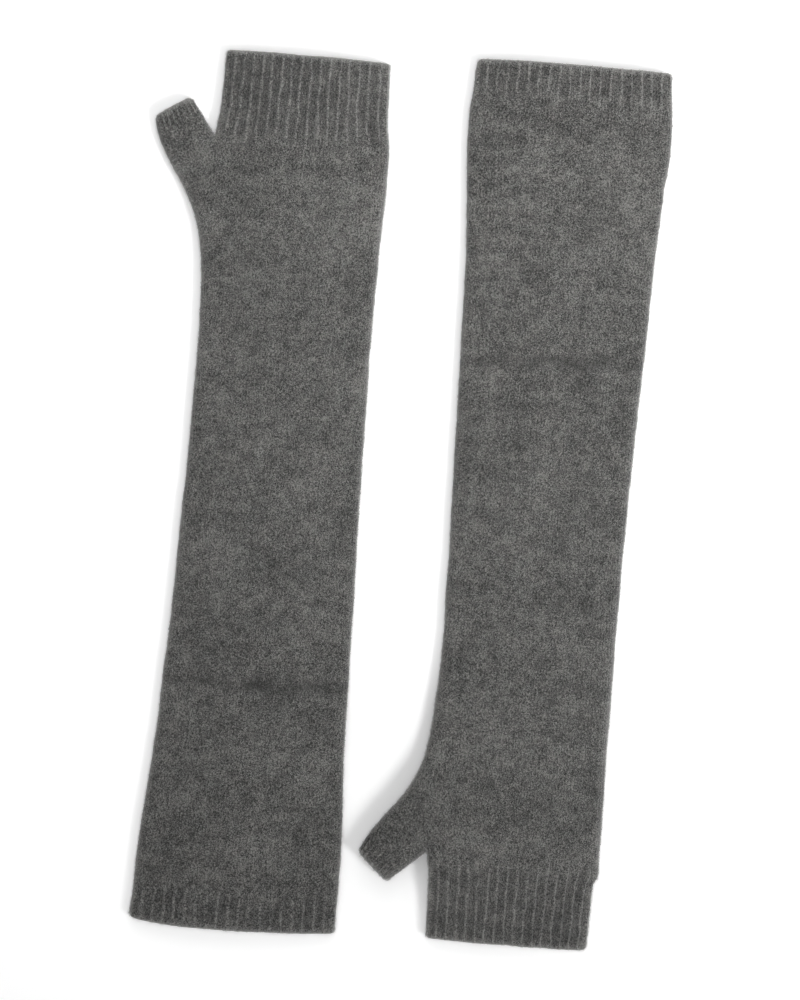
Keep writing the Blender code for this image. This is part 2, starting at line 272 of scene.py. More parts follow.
def smooth_values(stations, at):
    """The values at some places, on a smooth curve through the stations."""
    places, values = np.array(stations).T
    index = np.arange(len(places))
    before = np.maximum(index - 1, 0)
    after = np.minimum(index + 1, len(places) - 1)
    slopes = (values[after] - values[before]) / (places[after] - places[before])
    at = np.clip(at, places[0], places[-1])
    i = np.clip(np.searchsorted(places, at, side="right") - 1, 0, len(places) - 2)
    span = places[i + 1] - places[i]
    t = (at - places[i]) / span
    bend = slopes[i] * (1 - t) - slopes[i + 1] * t
    return values[i] + (values[i + 1] - values[i]) * t * t * (3 - 2 * t) + bend * span * t * (1 - t)


def soft_step(start, end, at):
    """0 before start, 1 after end, and smooth between them."""
    t = np.clip((at - start) / (end - start), 0, 1)
    return t * t * (3 - 2 * t)


def bell(away, width):
    """1 in the middle, and falling smoothly to either side."""
    return np.exp(-(away / width) ** 2)


def nearness(distance, reach):
    """1 at a place, and falling evenly to 0 at its reach."""
    return np.clip(1 - distance / reach, 0, 1)


def unit(vectors):
    return vectors / np.maximum(np.linalg.norm(vectors, axis=-1, keepdims=True), 1e-12)


def noise(a, b, seed):
    """Smooth random values from -1 to 1 over a plane of unit cells."""
    cells = 256
    lattice = np.random.default_rng(seed).uniform(-1, 1, (cells, cells))
    low_a = np.floor(a).astype(int)
    low_b = np.floor(b).astype(int)
    share_a = soft_step(0, 1, a - low_a)
    share_b = soft_step(0, 1, b - low_b)

    def corner(i, j):
        return lattice[(low_a + i) % cells, (low_b + j) % cells]

    near = corner(0, 0) + (corner(1, 0) - corner(0, 0)) * share_a
    far = corner(0, 1) + (corner(1, 1) - corner(0, 1)) * share_a
    return near + (far - near) * share_b


def spaced(start, end, step):
    """Evenly spaced values from start to end, about a step apart."""
    count = max(1, round((end - start) / step))
    return np.linspace(start, end, count + 1)


# The flat outline of a glove

class Outline:
    """The flat outline of one glove, with x towards the thumb and y towards the fingers."""

    def __init__(self, lay):
        self.lay = lay
        self.side = lay["thumb_side"]
        self.stretch = lay["stretch"]
        self.length = GLOVE_LENGTH * self.stretch
        self.half_widths = ((0, lay["hem_half_width"]),) + HALF_WIDTHS
        angle = lay["thumb_angle"]
        self.thumb_length = lay["thumb_length"]
        self.thumb_axis = np.array((math.sin(angle), math.cos(angle)))
        self.thumb_across = np.array((math.cos(angle), -math.sin(angle)))
        crotch_y = CROTCH * self.stretch
        self.crotch = np.array((float(self.thumb_side_fold(crotch_y)), crotch_y))
        self.cuff_start = crotch_y + CROTCH_BRIDGE
        self.knuckles = self.cuff_start + GAP / 2
        self.gusset = self.gusset_edge(angle - THUMB_BULGE)
        self.gusset_in_thumb = self.thumb_coordinates(self.gusset)
        self.gusset_top = self.crotch + self.thumb_across * self.thumb_width(0)
        self.folds = self.fold_lines()

    def centre(self, y):
        return self.lay["drift"] * np.sin(np.pi * y / self.length)

    def half_width(self, y):
        return smooth_values(self.half_widths, y / self.stretch)

    def thickness(self, y):
        return smooth_values(THICKNESSES, y / self.stretch)

    def little_side_fold(self, y):
        return self.centre(y) - self.half_width(y)

    def thumb_side_fold(self, y):
        return self.centre(y) + self.half_width(y)

    def gusset_edge(self, mouth_angle):
        """The edge of gusset and thumb, from the sleeve to the outer corner of the thumb's mouth."""
        flare_y = FLARE_START * self.stretch
        start = np.array((float(self.thumb_side_fold(flare_y)), flare_y))
        end = self.thumb_point(self.thumb_length, THUMB_MOUTH)
        start_handle = start + np.array((0, GUSSET_HANDLE))
        end_handle = end - THUMB_HANDLE * np.array((math.sin(mouth_angle), math.cos(mouth_angle)))
        t = np.linspace(0, 1, 64)[:, None]
        near = start * (1 - t) ** 3 + start_handle * 3 * t * (1 - t) ** 2
        return near + end_handle * 3 * t * t * (1 - t) + end * t ** 3

    def thumb_point(self, along, across):
        along = np.asarray(along, float)[..., None]
        across = np.asarray(across, float)[..., None]
        return self.crotch + self.thumb_axis * along + self.thumb_across * across

    def thumb_coordinates(self, points):
        """Points as their distances along the thumb and across it, from the crotch."""
        away = points - self.crotch
        return np.stack([away @ self.thumb_axis, away @ self.thumb_across], axis=-1)

    def thumb_width(self, along):
        return np.interp(along, self.gusset_in_thumb[:, 0], self.gusset_in_thumb[:, 1])

    def thumb_thickness(self, points):
        """From the hand's thickness at the thumb's base to its own at the mouth."""
        along, across = np.moveaxis(self.thumb_coordinates(points), -1, 0)
        base = self.thickness(self.thumb_point(0 * across, across)[..., 1])
        return base + (THUMB_MOUTH_THICKNESS - base) * along / self.thumb_length

    def sleeve_edge(self, y):
        """The sleeve's border on the thumb side: its fold, the gusset's, then the thumb's base line."""
        gusset = np.interp(y, self.gusset[:, 1], self.gusset[:, 0])
        base_ends = np.array((self.gusset_top, self.crotch))
        base = np.interp(y, base_ends[:, 1], base_ends[:, 0])
        beside_thumb = (y > self.gusset[0, 1]) & (y < self.crotch[1])
        border = np.where(y <= self.gusset_top[1], gusset, base)
        return np.where(beside_thumb, border, self.thumb_side_fold(y))

    def at_thumb_hole(self, y):
        return (y > self.gusset_top[1] + GAP / 10) & (y < self.crotch[1] - GAP / 10)

    def fold_lines(self):
        """The folded edges as lines of points, without the openings, where the two faces stay apart."""
        below = spaced(0, self.gusset[0, 1], OUTLINE_STEP)
        above = spaced(self.crotch[1], self.length, OUTLINE_STEP)
        whole = spaced(0, self.length, OUTLINE_STEP)
        thumb_line = np.column_stack([self.thumb_side_fold(below), below])
        cuff_line = np.column_stack([self.thumb_side_fold(above), above])
        little_line = np.column_stack([self.little_side_fold(whole), whole])
        thumb_tip = self.thumb_point(self.thumb_length, 0)[None]
        return (np.vstack([thumb_line, self.gusset[1:]]), np.vstack([thumb_tip, cuff_line]), little_line)

    def fold_distance(self, points):
        """How far points of the outline are from the nearest fold."""
        flat = points.reshape(-1, 2)
        starts = np.vstack([line[:-1] for line in self.folds])
        runs = np.vstack([np.diff(line, axis=0) for line in self.folds])
        square = (runs ** 2).sum(axis=1)
        nearest = np.empty(len(flat))
        at_once = 4000
        for first in range(0, len(flat), at_once):
            away = flat[first:first + at_once, None] - starts
            share = np.clip((away * runs).sum(axis=2) / square, 0, 1)
            left = away - runs * share[..., None]
            nearest[first:first + at_once] = np.sqrt((left ** 2).sum(axis=2).min(axis=1))
        return nearest.reshape(points.shape[:-1])

    def laid(self, points):
        """Points of the glove, moved to where it lies."""
        turn = self.lay["turn"]
        x = self.side * points[..., 0]
        y = points[..., 1]
        place_x, place_y = self.lay["place"]
        turned_x = place_x + math.cos(turn) * x - math.sin(turn) * y
        turned_y = place_y + math.sin(turn) * x + math.cos(turn) * y
        return np.stack([turned_x, turned_y, points[..., 2]], axis=-1)


# Rows of cloth round a flattened tube

def evenly_spaced(flat, heights, run, count):
    """Rows of points at even steps along the cloth."""
    steps = np.hypot(np.diff(run), np.diff(heights))
    lengths = np.concatenate([np.zeros((len(run), 1)), np.cumsum(steps, axis=1)], axis=1)
    rows = []
    for flat_row, height_row, length_row in zip(flat, heights, lengths):
        at = np.linspace(0, length_row[-1], count + 1)
        columns = (flat_row[:, 0], flat_row[:, 1], height_row)
        rows.append(np.column_stack([np.interp(at, length_row, column) for column in columns]))
    return np.array(rows)


def upper_height(distance, thick):
    """Height of the upper face: round at a fold, then rising gently to the glove's thickness."""
    left = 1 - np.minimum(distance / (UPPER_ROUND * thick), 1)
    fold = EDGE_HEIGHT * thick
    crown = thick * (SHOULDER + (1 - SHOULDER) * soft_step(0, CROWN_REACH, distance))
    return fold + (crown - fold) * np.sqrt(1 - left ** 2)


def lower_height(distance, thick):
    """Height of the lower face: round at a fold, then flat on the table."""
    left = 1 - np.minimum(distance / (LOWER_ROUND * thick), 1)
    return EDGE_HEIGHT * thick * (1 - np.sqrt(1 - left ** 2))


def wrapped_rows(outline, starts, ends, thickness, closed, columns):
    """Rows of points from the thumb's side over the upper face, and back under the lower one."""
    share = (1 - np.cos(np.linspace(0, np.pi, DENSE))) / 2
    flat = starts[:, None] + (ends - starts)[:, None] * share[:, None]
    thick = thickness(flat)
    distance = outline.fold_distance(flat)
    distance[:, -1] = 0
    distance[closed, 0] = 0
    run = np.linalg.norm(ends - starts, axis=1)[:, None] * share
    top = evenly_spaced(flat, upper_height(distance, thick), run, columns[0])
    bottom = evenly_spaced(flat, lower_height(distance, thick), run, columns[1])
    return np.concatenate([top, bottom[:, -2::-1]], axis=1)


def sleeve_rows(outline, places, columns):
    """Rows across the glove at some distances from the arm opening."""
    def thickness(flat):
        return outline.thickness(flat[..., 1])

    starts = np.column_stack([outline.sleeve_edge(places), places])
    ends = np.column_stack([outline.little_side_fold(places), places])
    closed = ~outline.at_thumb_hole(places)
    return wrapped_rows(outline, starts, ends, thickness, closed, columns)


def thumb_rows(outline, places, columns):
    """Rows across the thumb at some distances from its base."""
    starts = outline.thumb_point(places, outline.thumb_width(places))
    ends = outline.thumb_point(places, 0 * places)
    closed = np.ones(len(places), bool)
    return wrapped_rows(outline, starts, ends, outline.thumb_thickness, closed, columns)


def around(columns, per_face):
    """A pattern's coordinate round a tube, counting per_face from fold to fold."""
    upper = np.linspace(0, per_face, columns[0] + 1)
    lower = np.linspace(per_face, 2 * per_face, columns[1] + 1)
    return np.concatenate([upper, lower[1:]])


def face_width(height, outline, y):
    """Length of the cloth over one face of the plain tube, from fold to fold."""
    distance = np.linspace(0, CROWN_REACH, DENSE)
    heights = height(distance, outline.thickness(y)[:, None])
    over = np.hypot(np.diff(distance), np.diff(heights)).sum(axis=1)
    return 2 * (outline.half_width(y) + over - CROWN_REACH)


def straight_wales(outline, base, columns):
    """The wale at each point, counted so that wales run straight on and the gusset adds its own."""
    steps = np.linalg.norm(np.diff(base, axis=1), axis=2)
    middle = columns[0]
    run = np.concatenate([np.zeros((len(base), 1)), np.cumsum(steps, axis=1)], axis=1)
    from_little = run - run[:, middle:middle + 1]
    y = base[:, middle, 1]
    upper = face_width(upper_height, outline, y)
    lower = face_width(lower_height, outline, y)
    face = np.where(from_little < 0, upper[:, None], lower[:, None])
    return WALES * (1 + from_little / face)


def row_normals(base, open_rows):
    """Outward directions over rows of points."""
    before = np.concatenate([base[:, -2:-1], base[:, :-1]], axis=1)
    after = np.concatenate([base[:, 1:], base[:, 1:2]], axis=1)
    before[open_rows, 0] = base[open_rows, 0]
    after[open_rows, -1] = base[open_rows, -1]
    along = np.gradient(base, axis=0)
    along[open_rows, 0] = along[open_rows, 2]
    along[open_rows, -1] = along[open_rows, -3]
    return unit(np.cross(along, after - before))


# Looseness of the laid cloth

def corner_pull(distance):
    """How far an opening's edge draws back at this distance from a fold."""
    left = 1 - np.minimum(distance / CORNER_RADIUS, 1)
    return CORNER_RADIUS * (1 - np.sqrt(1 - left ** 2))


def creases(outline, across, y):
    """For each crease, its depth at some points and how far along the glove they are from its line."""
    seed = outline.lay["seed"]
    x = across * outline.half_width(y)
    stray = CREASE_WANDER * noise(x / (14 * MM), 0 * x, seed + 2)
    uneven = 0.75 + 0.25 * noise(x / (12 * MM) + 4, 0 * x + 3, seed + 3)
    for place, depth, slant, (first, last) in outline.lay["creases"]:
        line = place + slant * across + stray
        fade = soft_step(first - 0.2, first + 0.2, across) * (1 - soft_step(last - 0.4, last + 0.1, across))
        yield depth * fade * uneven, y - line


def raised(outline, points):
    """How far the thumb and the gusset stand off the table; the rise dies out along the cuff."""
    along = outline.thumb_coordinates(points)[..., 0]
    past_crotch = points[..., 1] - outline.crotch[1]
    before_cuff = 1 - soft_step(*RISE_END, past_crotch)
    return outline.lay["thumb_rise"] * soft_step(*RISE_START, along) * before_cuff


def settled_edges(outline, x, y, across):
    """Places across the glove, with wavering folds and a fuller wrist, forearm, hand and cuff."""
    lay = outline.lay
    seed = lay["seed"]
    fold_row = np.sign(across) * 3
    wobble = noise(y / LONG_WOBBLE, fold_row + 5.5, seed + 4)
    wobble = wobble + 0.6 * noise(y / SHORT_WOBBLE, fold_row + 9.5, seed + 5)
    x = x + EDGE_WOBBLE * wobble * across * soft_step(0.5, 1, np.abs(across))
    past_knuckles = y - outline.knuckles
    step = soft_step(*STEP_START, past_knuckles) * (1 - soft_step(*STEP_END, past_knuckles))
    out = lay["cuff_step"] * step + lay["hand_out"] * soft_step(FLARE_START, CROTCH, y)
    out = out + FOREARM_OUT * bell(y - FOREARM, FOREARM_LENGTH)
    x = x - out * soft_step(0.6, 1, -across)
    return x + WRIST_OUT * bell(y - WRIST, WRIST_LENGTH) * soft_step(0.6, 1, across)


def settled_mouths(outline, x, y, across):
    """Places along the glove, with a bowed hem and with openings that waver and have round corners."""
    lay = outline.lay
    from_fingers = outline.length - y
    at_fold = np.minimum(outline.thumb_side_fold(y) - x, x - outline.little_side_fold(y))
    pull = corner_pull(np.maximum(at_fold, 0))
    bow_place = np.clip((1 - across) / 2, 0, 1) ** 0.65
    bow = lay["hem_bow"] * np.sin(np.pi * bow_place) * nearness(y, HEM_REACH) ** 2
    settled = y + pull * nearness(y, CORNER_REACH) - bow
    settled = settled - pull * nearness(from_fingers, CORNER_REACH)
    mouth_row = np.sign(y - from_fingers) + 2.5
    wave = HEM_WAVE * noise(x / HEM_WAVE_LENGTH, mouth_row, lay["seed"] + 6)
    return settled + wave * nearness(np.minimum(y, from_fingers), CORNER_REACH)


def settled_heights(outline, base, across):
    """Heights, with the upper face's slow swell and creases and the raised thumb's side."""
    x, y, z = np.moveaxis(base, -1, 0)
    seed = outline.lay["seed"]
    upper = soft_step(*UPPER_FACE, z / outline.thickness(y))
    swell = noise(x / LONG_SWELL[0] + 9, y / LONG_SWELL[1], seed)
    swell = swell + 0.5 * noise(x / SHORT_SWELL[0], y / SHORT_SWELL[1], seed + 1)
    height = z + SWELL * upper * (swell - 0.4) + raised(outline, base[..., :2])
    for depth, away in creases(outline, across, y):
        bank = BANK_HEIGHT * bell(away - BANK_PLACE, BANK_WIDTH)
        height = height + depth * upper * (bank - bell(away, CREASE_WIDTH))
    return height


def settle_sleeve(outline, base):
    """Gives the rows of sleeve and ribs the small unevenness of cloth that was laid down by hand."""
    x, y = np.moveaxis(base[..., :2], -1, 0)
    across = (x - outline.centre(y)) / outline.half_width(y)
    x_settled = settled_edges(outline, x, y, across)
    y_settled = settled_mouths(outline, x, y, across)
    return np.stack([x_settled, y_settled, settled_heights(outline, base, across)], axis=-1)


def settle_thumb(outline, base):
    """Slants the thumb's mouth and rounds its corners."""
    along, across = np.moveaxis(outline.thumb_coordinates(base[..., :2]), -1, 0)
    at_fold = np.minimum(across, outline.thumb_width(along) - across)
    inner, outer = outline.lay["mouth_reach"]
    reach = (inner + (outer - inner) * across / THUMB_MOUTH) * (along / outline.thumb_length) ** 2
    near_mouth = nearness(outline.thumb_length - along, CORNER_REACH)
    pull = corner_pull(np.maximum(at_fold, 0)) * near_mouth * soft_step(0, 0.3, near_mouth)
    moved = base.copy()
    moved[..., :2] += (reach - pull)[..., None] * outline.thumb_axis
    moved[..., 2] += raised(outline, base[..., :2])
    return moved


# Relief of the knitting, as a depth below the crests

def wale_relief(u, depth):
    return -depth * (1 - np.abs(np.sin(np.pi * u)))


def rib_relief(u, depth):
    off = (u % 1) - 0.5
    return -depth * (1 - np.exp(-0.5 * (off / RIB_SHARPNESS) ** 2))


def uneven_stitches(u, v, seed):
    return UNEVEN * noise(u * 1.3, v / (2.3 * MM), seed)


def glove_relief(outline, u, v):
    """Wales of plain knitting that gather into ribs at the two ends, and the share of rib at each point."""
    lay = outline.lay
    seed = lay["seed"]
    waver = RIB_WAVER * noise(u / 2, v / (6 * MM), seed + 7)
    plain = wale_relief(u + 0.35 * waver, WALE_DEPTH)
    from_hem = v + 2.5 * MM * noise(u / 3, 0 * v, 3)
    arm = 1 - soft_step(ARM_RIB_HEIGHT - ARM_RIB_FADE, ARM_RIB_HEIGHT + ARM_RIB_FADE, from_hem)
    from_crotch = v - outline.crotch[1] + 4 * MM * noise(u / 3, 0 * v + 2, seed + 9)
    finger = soft_step(*lay["rib_fade"], from_crotch)
    arm_ribs = rib_relief(u * ARM_RIBS / WALES + waver, RIB_DEPTH)
    finger_ribs = rib_relief(u * FINGER_RIBS / WALES + waver, RIB_DEPTH)
    bare = np.clip(1 - arm - finger, 0, 1)
    depth = bare * plain + arm * arm_ribs + finger * finger_ribs + uneven_stitches(u, v, seed + 8) - UNEVEN
    return depth, 1 - bare


def pressed_and_shaded_bands(outline, u, v):
    """How much the creases press the upper face's nap flat and darken it with painted shade, from 0 to about
    1.
    """
    pressed_and_shaded = 0 * u
    for depth, away in creases(outline, 1 - 2 * u / WALES, v):
        pressed_and_shaded = pressed_and_shaded + CREASE_PRESS_AND_SHADE * depth * (u < WALES) * bell(away, CREASE_PRESS_AND_SHADE_WIDTH)
    return pressed_and_shaded


def thumb_relief(outline, u, v):
    """Plain wales that sharpen into the thumb's fine rib, and the share of rib at each point."""
    seed = outline.lay["seed"]
    rib_start = outline.thumb_length - THUMB_RIB_HEIGHT
    rib = soft_step(rib_start - 2 * MM, rib_start + 3 * MM, v)
    from_base = soft_step(0, 3 * MM, v)
    waver = THUMB_RIB_WAVER * noise(u / 2, v / (5 * MM), seed + 17)
    plain = wale_relief(u + waver, WALE_DEPTH) * (1 - rib)
    ribs = rib_relief(u * THUMB_RIBS / THUMB_WALES + waver, THUMB_RIB_DEPTH) * rib
    return (plain + ribs + uneven_stitches(u, v, seed + 18) - UNEVEN) * from_base, rib


# Meshes of cloth

def mesh_from_corners(name, corners, weld, faces, patterns, flip):
    """A mesh whose faces name corners; welded corners share a point but keep their own pattern places."""
    kept, point_of = np.unique(weld, return_inverse=True)
    loops = np.concatenate([face[::-1] if flip else face for face in faces])
    sizes = np.array([len(face) for face in faces])
    mesh = bpy.data.meshes.new(name)
    mesh.vertices.add(len(kept))
    mesh.vertices.foreach_set("co", corners[kept].astype(np.float32).ravel())
    mesh.loops.add(len(loops))
    mesh.loops.foreach_set("vertex_index", point_of[loops].astype(np.int32))
    mesh.polygons.add(len(sizes))
    mesh.polygons.foreach_set("loop_start", np.concatenate([[0], np.cumsum(sizes)[:-1]]).astype(np.int32))
    for layer, places in patterns.items():
        mesh.uv_layers.new(name=layer).data.foreach_set("uv", places[loops].astype(np.float32).ravel())
    mesh.update(calc_edges=True)
    mesh.validate()
    return mesh, kept


class Section:
    """One knitted section of a glove: the rows of its outer face, with the coordinates of its pattern."""

    def __init__(self, outline, base, places, columns, wales, open_rows, relief, wall, mouth=None):
        """wales holds the pattern's coordinate at each point of the rows."""
        self.outline = outline
        self.on_thumb = relief is thumb_relief
        self.shift = (outline.lay["seed"] + 3 * self.on_thumb) * WALES
        self.wall = wall
        self.mouth = mouth
        self.columns = columns
        self.open_rows = open_rows
        self.base = base
        self.normals = row_normals(base, open_rows)
        self.along = unit(np.gradient(base, axis=0))
        self.u = np.broadcast_to(wales, base.shape[:2])
        self.turns = around(columns, 0.5)
        self.v = np.broadcast_to(places[:, None], base.shape[:2])
        fold = 1 - soft_step(0.45, 0.95, np.abs(self.normals[..., 2]))
        depths, self.ribbed = relief(outline, self.u, self.v)
        self.relief = depths * (1 - FOLD_SMOOTHING * fold)
        self.add_outer()
        self.add_inner()

    def add_outer(self):
        """The outer face, with a rounded lip at the mouth."""
        self.outer = self.base + self.normals * self.relief[..., None]
        self.outer_u = self.u
        self.outer_v = self.v
        self.outer_along = self.along
        self.outer_normals = self.normals
        self.outer_open = self.open_rows
        if self.mouth is None:
            return
        end, way = (0, -1) if self.mouth == "start" else (-1, 1)
        half_wall = self.wall / 2
        self.edge_out = self.along[end] * way
        lip = []
        for turn in LIP_TURNS:
            out = self.edge_out * half_wall * math.sin(turn)
            sink = self.relief[end] * (1 + math.cos(turn)) / 2 - half_wall * (1 - math.cos(turn))
            lip.append(self.base[end] + out + self.normals[end] * sink[:, None])
        self.edge_path = lip[1]
        reach = np.arange(1, len(lip) + 1)[:, None] * half_wall

        def repeated(rows):
            return np.repeat(rows[end][None], len(lip), axis=0)

        self.outer = self.with_lip(self.outer, np.array(lip))
        self.outer_u = self.with_lip(self.u, repeated(self.u))
        self.outer_v = self.with_lip(self.v, self.v[end] + way * reach)
        self.outer_along = self.with_lip(self.along, repeated(self.along))
        self.outer_normals = self.with_lip(self.normals, repeated(self.normals))
        self.outer_open = self.with_lip(self.open_rows, np.zeros(len(lip), bool))

    def with_lip(self, rows, lip):
        """Rows with those of the lip added, which go from the cloth outwards."""
        return np.concatenate((lip[::-1], rows) if self.mouth == "start" else (rows, lip))

    def add_inner(self):
        """The inner face, on every few columns."""
        upper, lower = self.columns
        step_lower = INNER_SHARE * lower // upper
        self.kept_columns = np.concatenate([
            np.arange(0, upper, INNER_SHARE),
            np.arange(upper, upper + lower + 1, step_lower),
        ])
        kept = self.kept_columns
        self.inner = self.base[:, kept] - self.normals[:, kept] * self.wall

    def faces(self):
        """The corners of each face, and which corners are one point."""
        rows, across = self.outer.shape[:2]
        outer = np.arange(rows * across).reshape(rows, across)
        inner_rows, inner_across = self.inner.shape[:2]
        inner = rows * across + np.arange(inner_rows * inner_across).reshape(inner_rows, inner_across)
        weld = np.arange(inner[-1, -1] + 1)
        weld[outer[~self.outer_open, -1]] = outer[~self.outer_open, 0]
        weld[inner[~self.open_rows, -1]] = inner[~self.open_rows, 0]

        quads = np.stack([outer[:-1, :-1], outer[1:, :-1], outer[1:, 1:], outer[:-1, 1:]], axis=-1)
        faces = list(quads.reshape(-1, 4))
        quads = np.stack([inner[:-1, :-1], inner[:-1, 1:], inner[1:, 1:], inner[1:, :-1]], axis=-1)
        faces += list(quads.reshape(-1, 4))
        for k, (first, last) in enumerate(zip(self.kept_columns, self.kept_columns[1:])):
            near = outer[0, first:last + 1]
            faces.append(np.concatenate([near, inner[0, [k + 1, k]]]))
            far = outer[-1, first:last + 1][::-1]
            faces.append(np.concatenate([far, inner[-1, [k, k + 1]]]))
        beside = np.flatnonzero(self.open_rows)
        if len(beside):
            for i in range(beside[0] - 1, beside[-1] + 1):
                faces.append(np.array([outer[i, 0], inner[i, 0], inner[i + 1, 0], outer[i + 1, 0]]))
                faces.append(np.array([outer[i, -1], outer[i + 1, -1], inner[i + 1, -1], inner[i, -1]]))
        return faces, weld

    def mesh(self, name):
        """The closed mesh, with the knit's own coordinates, the wale direction and where fibres grow."""
        faces, weld = self.faces()
        corners = np.concatenate([self.outer.reshape(-1, 3), self.inner.reshape(-1, 3)])
        kept = self.kept_columns
        knit_u = np.concatenate([self.outer_u.ravel(), self.u[:, kept].ravel()])
        knit_v = np.concatenate([self.outer_v.ravel(), self.v[:, kept].ravel()])
        knit = np.column_stack([(knit_u + self.shift) * STITCH_SIZE, knit_v]) / MM
        layout = self.bake_layout()
        world = self.outline.laid(corners)
        world[:, 2] = np.maximum(world[:, 2], 0)
        patterns = {"knit": knit, "OFBake": layout}
        mesh, points = mesh_from_corners(name, world, weld, faces, patterns, self.outline.side < 0)

        inner_along = self.along[:, kept].reshape(-1, 3)
        directions = np.concatenate([self.outer_along.reshape(-1, 3), inner_along])
        places = self.outline.laid(corners + directions * MM) - self.outline.laid(corners)
        wale = mesh.attributes.new("wale", "FLOAT_VECTOR", "POINT")
        wale.data.foreach_set("vector", (places[points] / MM).astype(np.float32).ravel())
        none_inside = np.zeros(self.inner.shape[0] * self.inner.shape[1])
        # nap and halo say where hairs grow; the third layer carries the painted light and shade of the
        # colour
        layers = {"nap": self.nap_growth(), "halo": self.halo_growth(), "painted_light_and_shade": self.painted_light_levels()}
        for layer, growth in layers.items():
            density = mesh.attributes.new(layer, "FLOAT", "POINT")
            values = np.concatenate([growth.ravel(), none_inside])
            density.data.foreach_set("value", values[points].astype(np.float32))
        mesh.shade_smooth()
        mesh.set_sharp_from_angle(angle=math.radians(60))
        return mesh

    def nap_growth(self):
        """How thickly short fibres grow on the outer face: most above, fewer where it lies on the table."""
        above = soft_step(0.4 * MM, 2.5 * MM, self.outer[..., 2])
        growth = NAP_BELOW + (1 - NAP_BELOW) * above
        return growth * (1 - NAP_PRESSED * np.minimum(self.pressed_and_shaded(), 1))

    def pressed_and_shaded(self):
        if self.on_thumb:
            return 0 * self.outer_u
        return pressed_and_shaded_bands(self.outline, self.outer_u, self.outer_v)

    def halo_growth(self):
        """How thickly long fibres stand off the outer face: most along the folds and at the mouth."""
        upright = np.abs(self.outer_normals[..., 2])
        fold = 1 - soft_step(0.1, 0.6, upright)
        above = soft_step(0.2 * MM, 2 * MM, self.outer[..., 2])
        growth = HALO_BELOW + above * (HALO_ABOVE + HALO_FOLD * fold)
        near = 1 - soft_step(0.3 * MM, 0.7 * FUZZY_AND_PAINTED_RIM, self.from_mouth())
        lip = 1 - soft_step(0, 0.4 * FUZZY_AND_PAINTED_RIM, self.from_mouth())
        return np.maximum(growth, (HALO_MOUTH * near + HALO_LIP * lip) * above)

    def from_mouth(self):
        """How far each point of the outer face is from the mouth's edge, as seen from above."""
        if self.mouth is None:
            return np.full(self.outer_v.shape, np.inf)
        first_lip = len(LIP_TURNS) - 1
        edge = self.outer_v[first_lip] if self.mouth == "start" else self.outer_v[-1 - first_lip]
        return np.abs(self.outer_v - edge)

    def painted_light_levels(self):
        """Painted light and shade for the colour: light on ridges of rib, on the folds and at the mouths,
        shade in furrows and creases.
        """
        height = 1 + self.relief / RIB_DEPTH
        broken = 1 + RIDGE_BREAKS * noise(self.u / 1.5, self.v / (2.2 * MM), self.outline.lay["seed"] + 12)
        level = height + self.ribbed * (FURROW_LIGHT + PAINTED_RIDGE_LIGHT * height * broken)
        if self.mouth is not None:
            level = self.with_lip(level, np.ones((len(LIP_TURNS), level.shape[1])))
        upright = np.abs(self.outer_normals[..., 2])
        # Painted light on the folds, most on the thumb's side, and at the mouths
        fold = 1 - soft_step(0.3, 0.88, upright)
        level = level + (1 - level) * fold
        thumb_side = 0.5 + 0.5 * np.cos(2 * np.pi * self.turns)
        at_fold = (PAINTED_FOLD_LIGHT + PAINTED_THUMB_SIDE_LIGHT * thumb_side) * (1 - soft_step(0.35, 0.985, upright))
        mouth_highlight = (1 - soft_step(0, 0.8 * FUZZY_AND_PAINTED_RIM, self.from_mouth())) ** 2
        if self.on_thumb:
            return level - THUMB_SHADE + PAINTED_THUMB_FOLD_LIGHT * at_fold + PAINTED_THUMB_MOUTH_LIGHT * mouth_highlight
        # Painted light on folds and mouths; creases take painted shade off it
        return level + np.maximum(at_fold, PAINTED_MOUTH_LIGHT * mouth_highlight) - self.pressed_and_shaded()

    def bake_layout(self):
        """Places in a square picture: the outer face, with the inner face in a strip above it."""
        edge = 0.01
        strip = 0.06

        def spread(turns, shape, start, height):
            turns = np.broadcast_to(turns, shape)
            rows = np.linspace(0, 1, shape[0])[:, None] + 0 * turns
            return np.stack([edge + (1 - 2 * edge) * turns, start + height * rows], axis=-1).reshape(-1, 2)

        outer = spread(self.turns, self.outer.shape[:2], edge, 1 - 3 * edge - strip)
        inner = spread(self.turns[self.kept_columns], self.inner.shape[:2], 1 - edge, -strip)
        return np.concatenate([outer, inner])

    def sheet_size(self):
        """The flat cut's width, length and area, from the rows at rest."""
        steps = np.linalg.norm(np.diff(self.base, axis=1), axis=2).sum(axis=1)
        middle = self.base.shape[1] // 4
        run = np.linalg.norm(np.diff(self.base[:, middle], axis=0), axis=1)
        area = float(((steps[:-1] + steps[1:]) / 2 * run).sum())
        return float(steps.max()), float(run.sum()), area


# Node trees

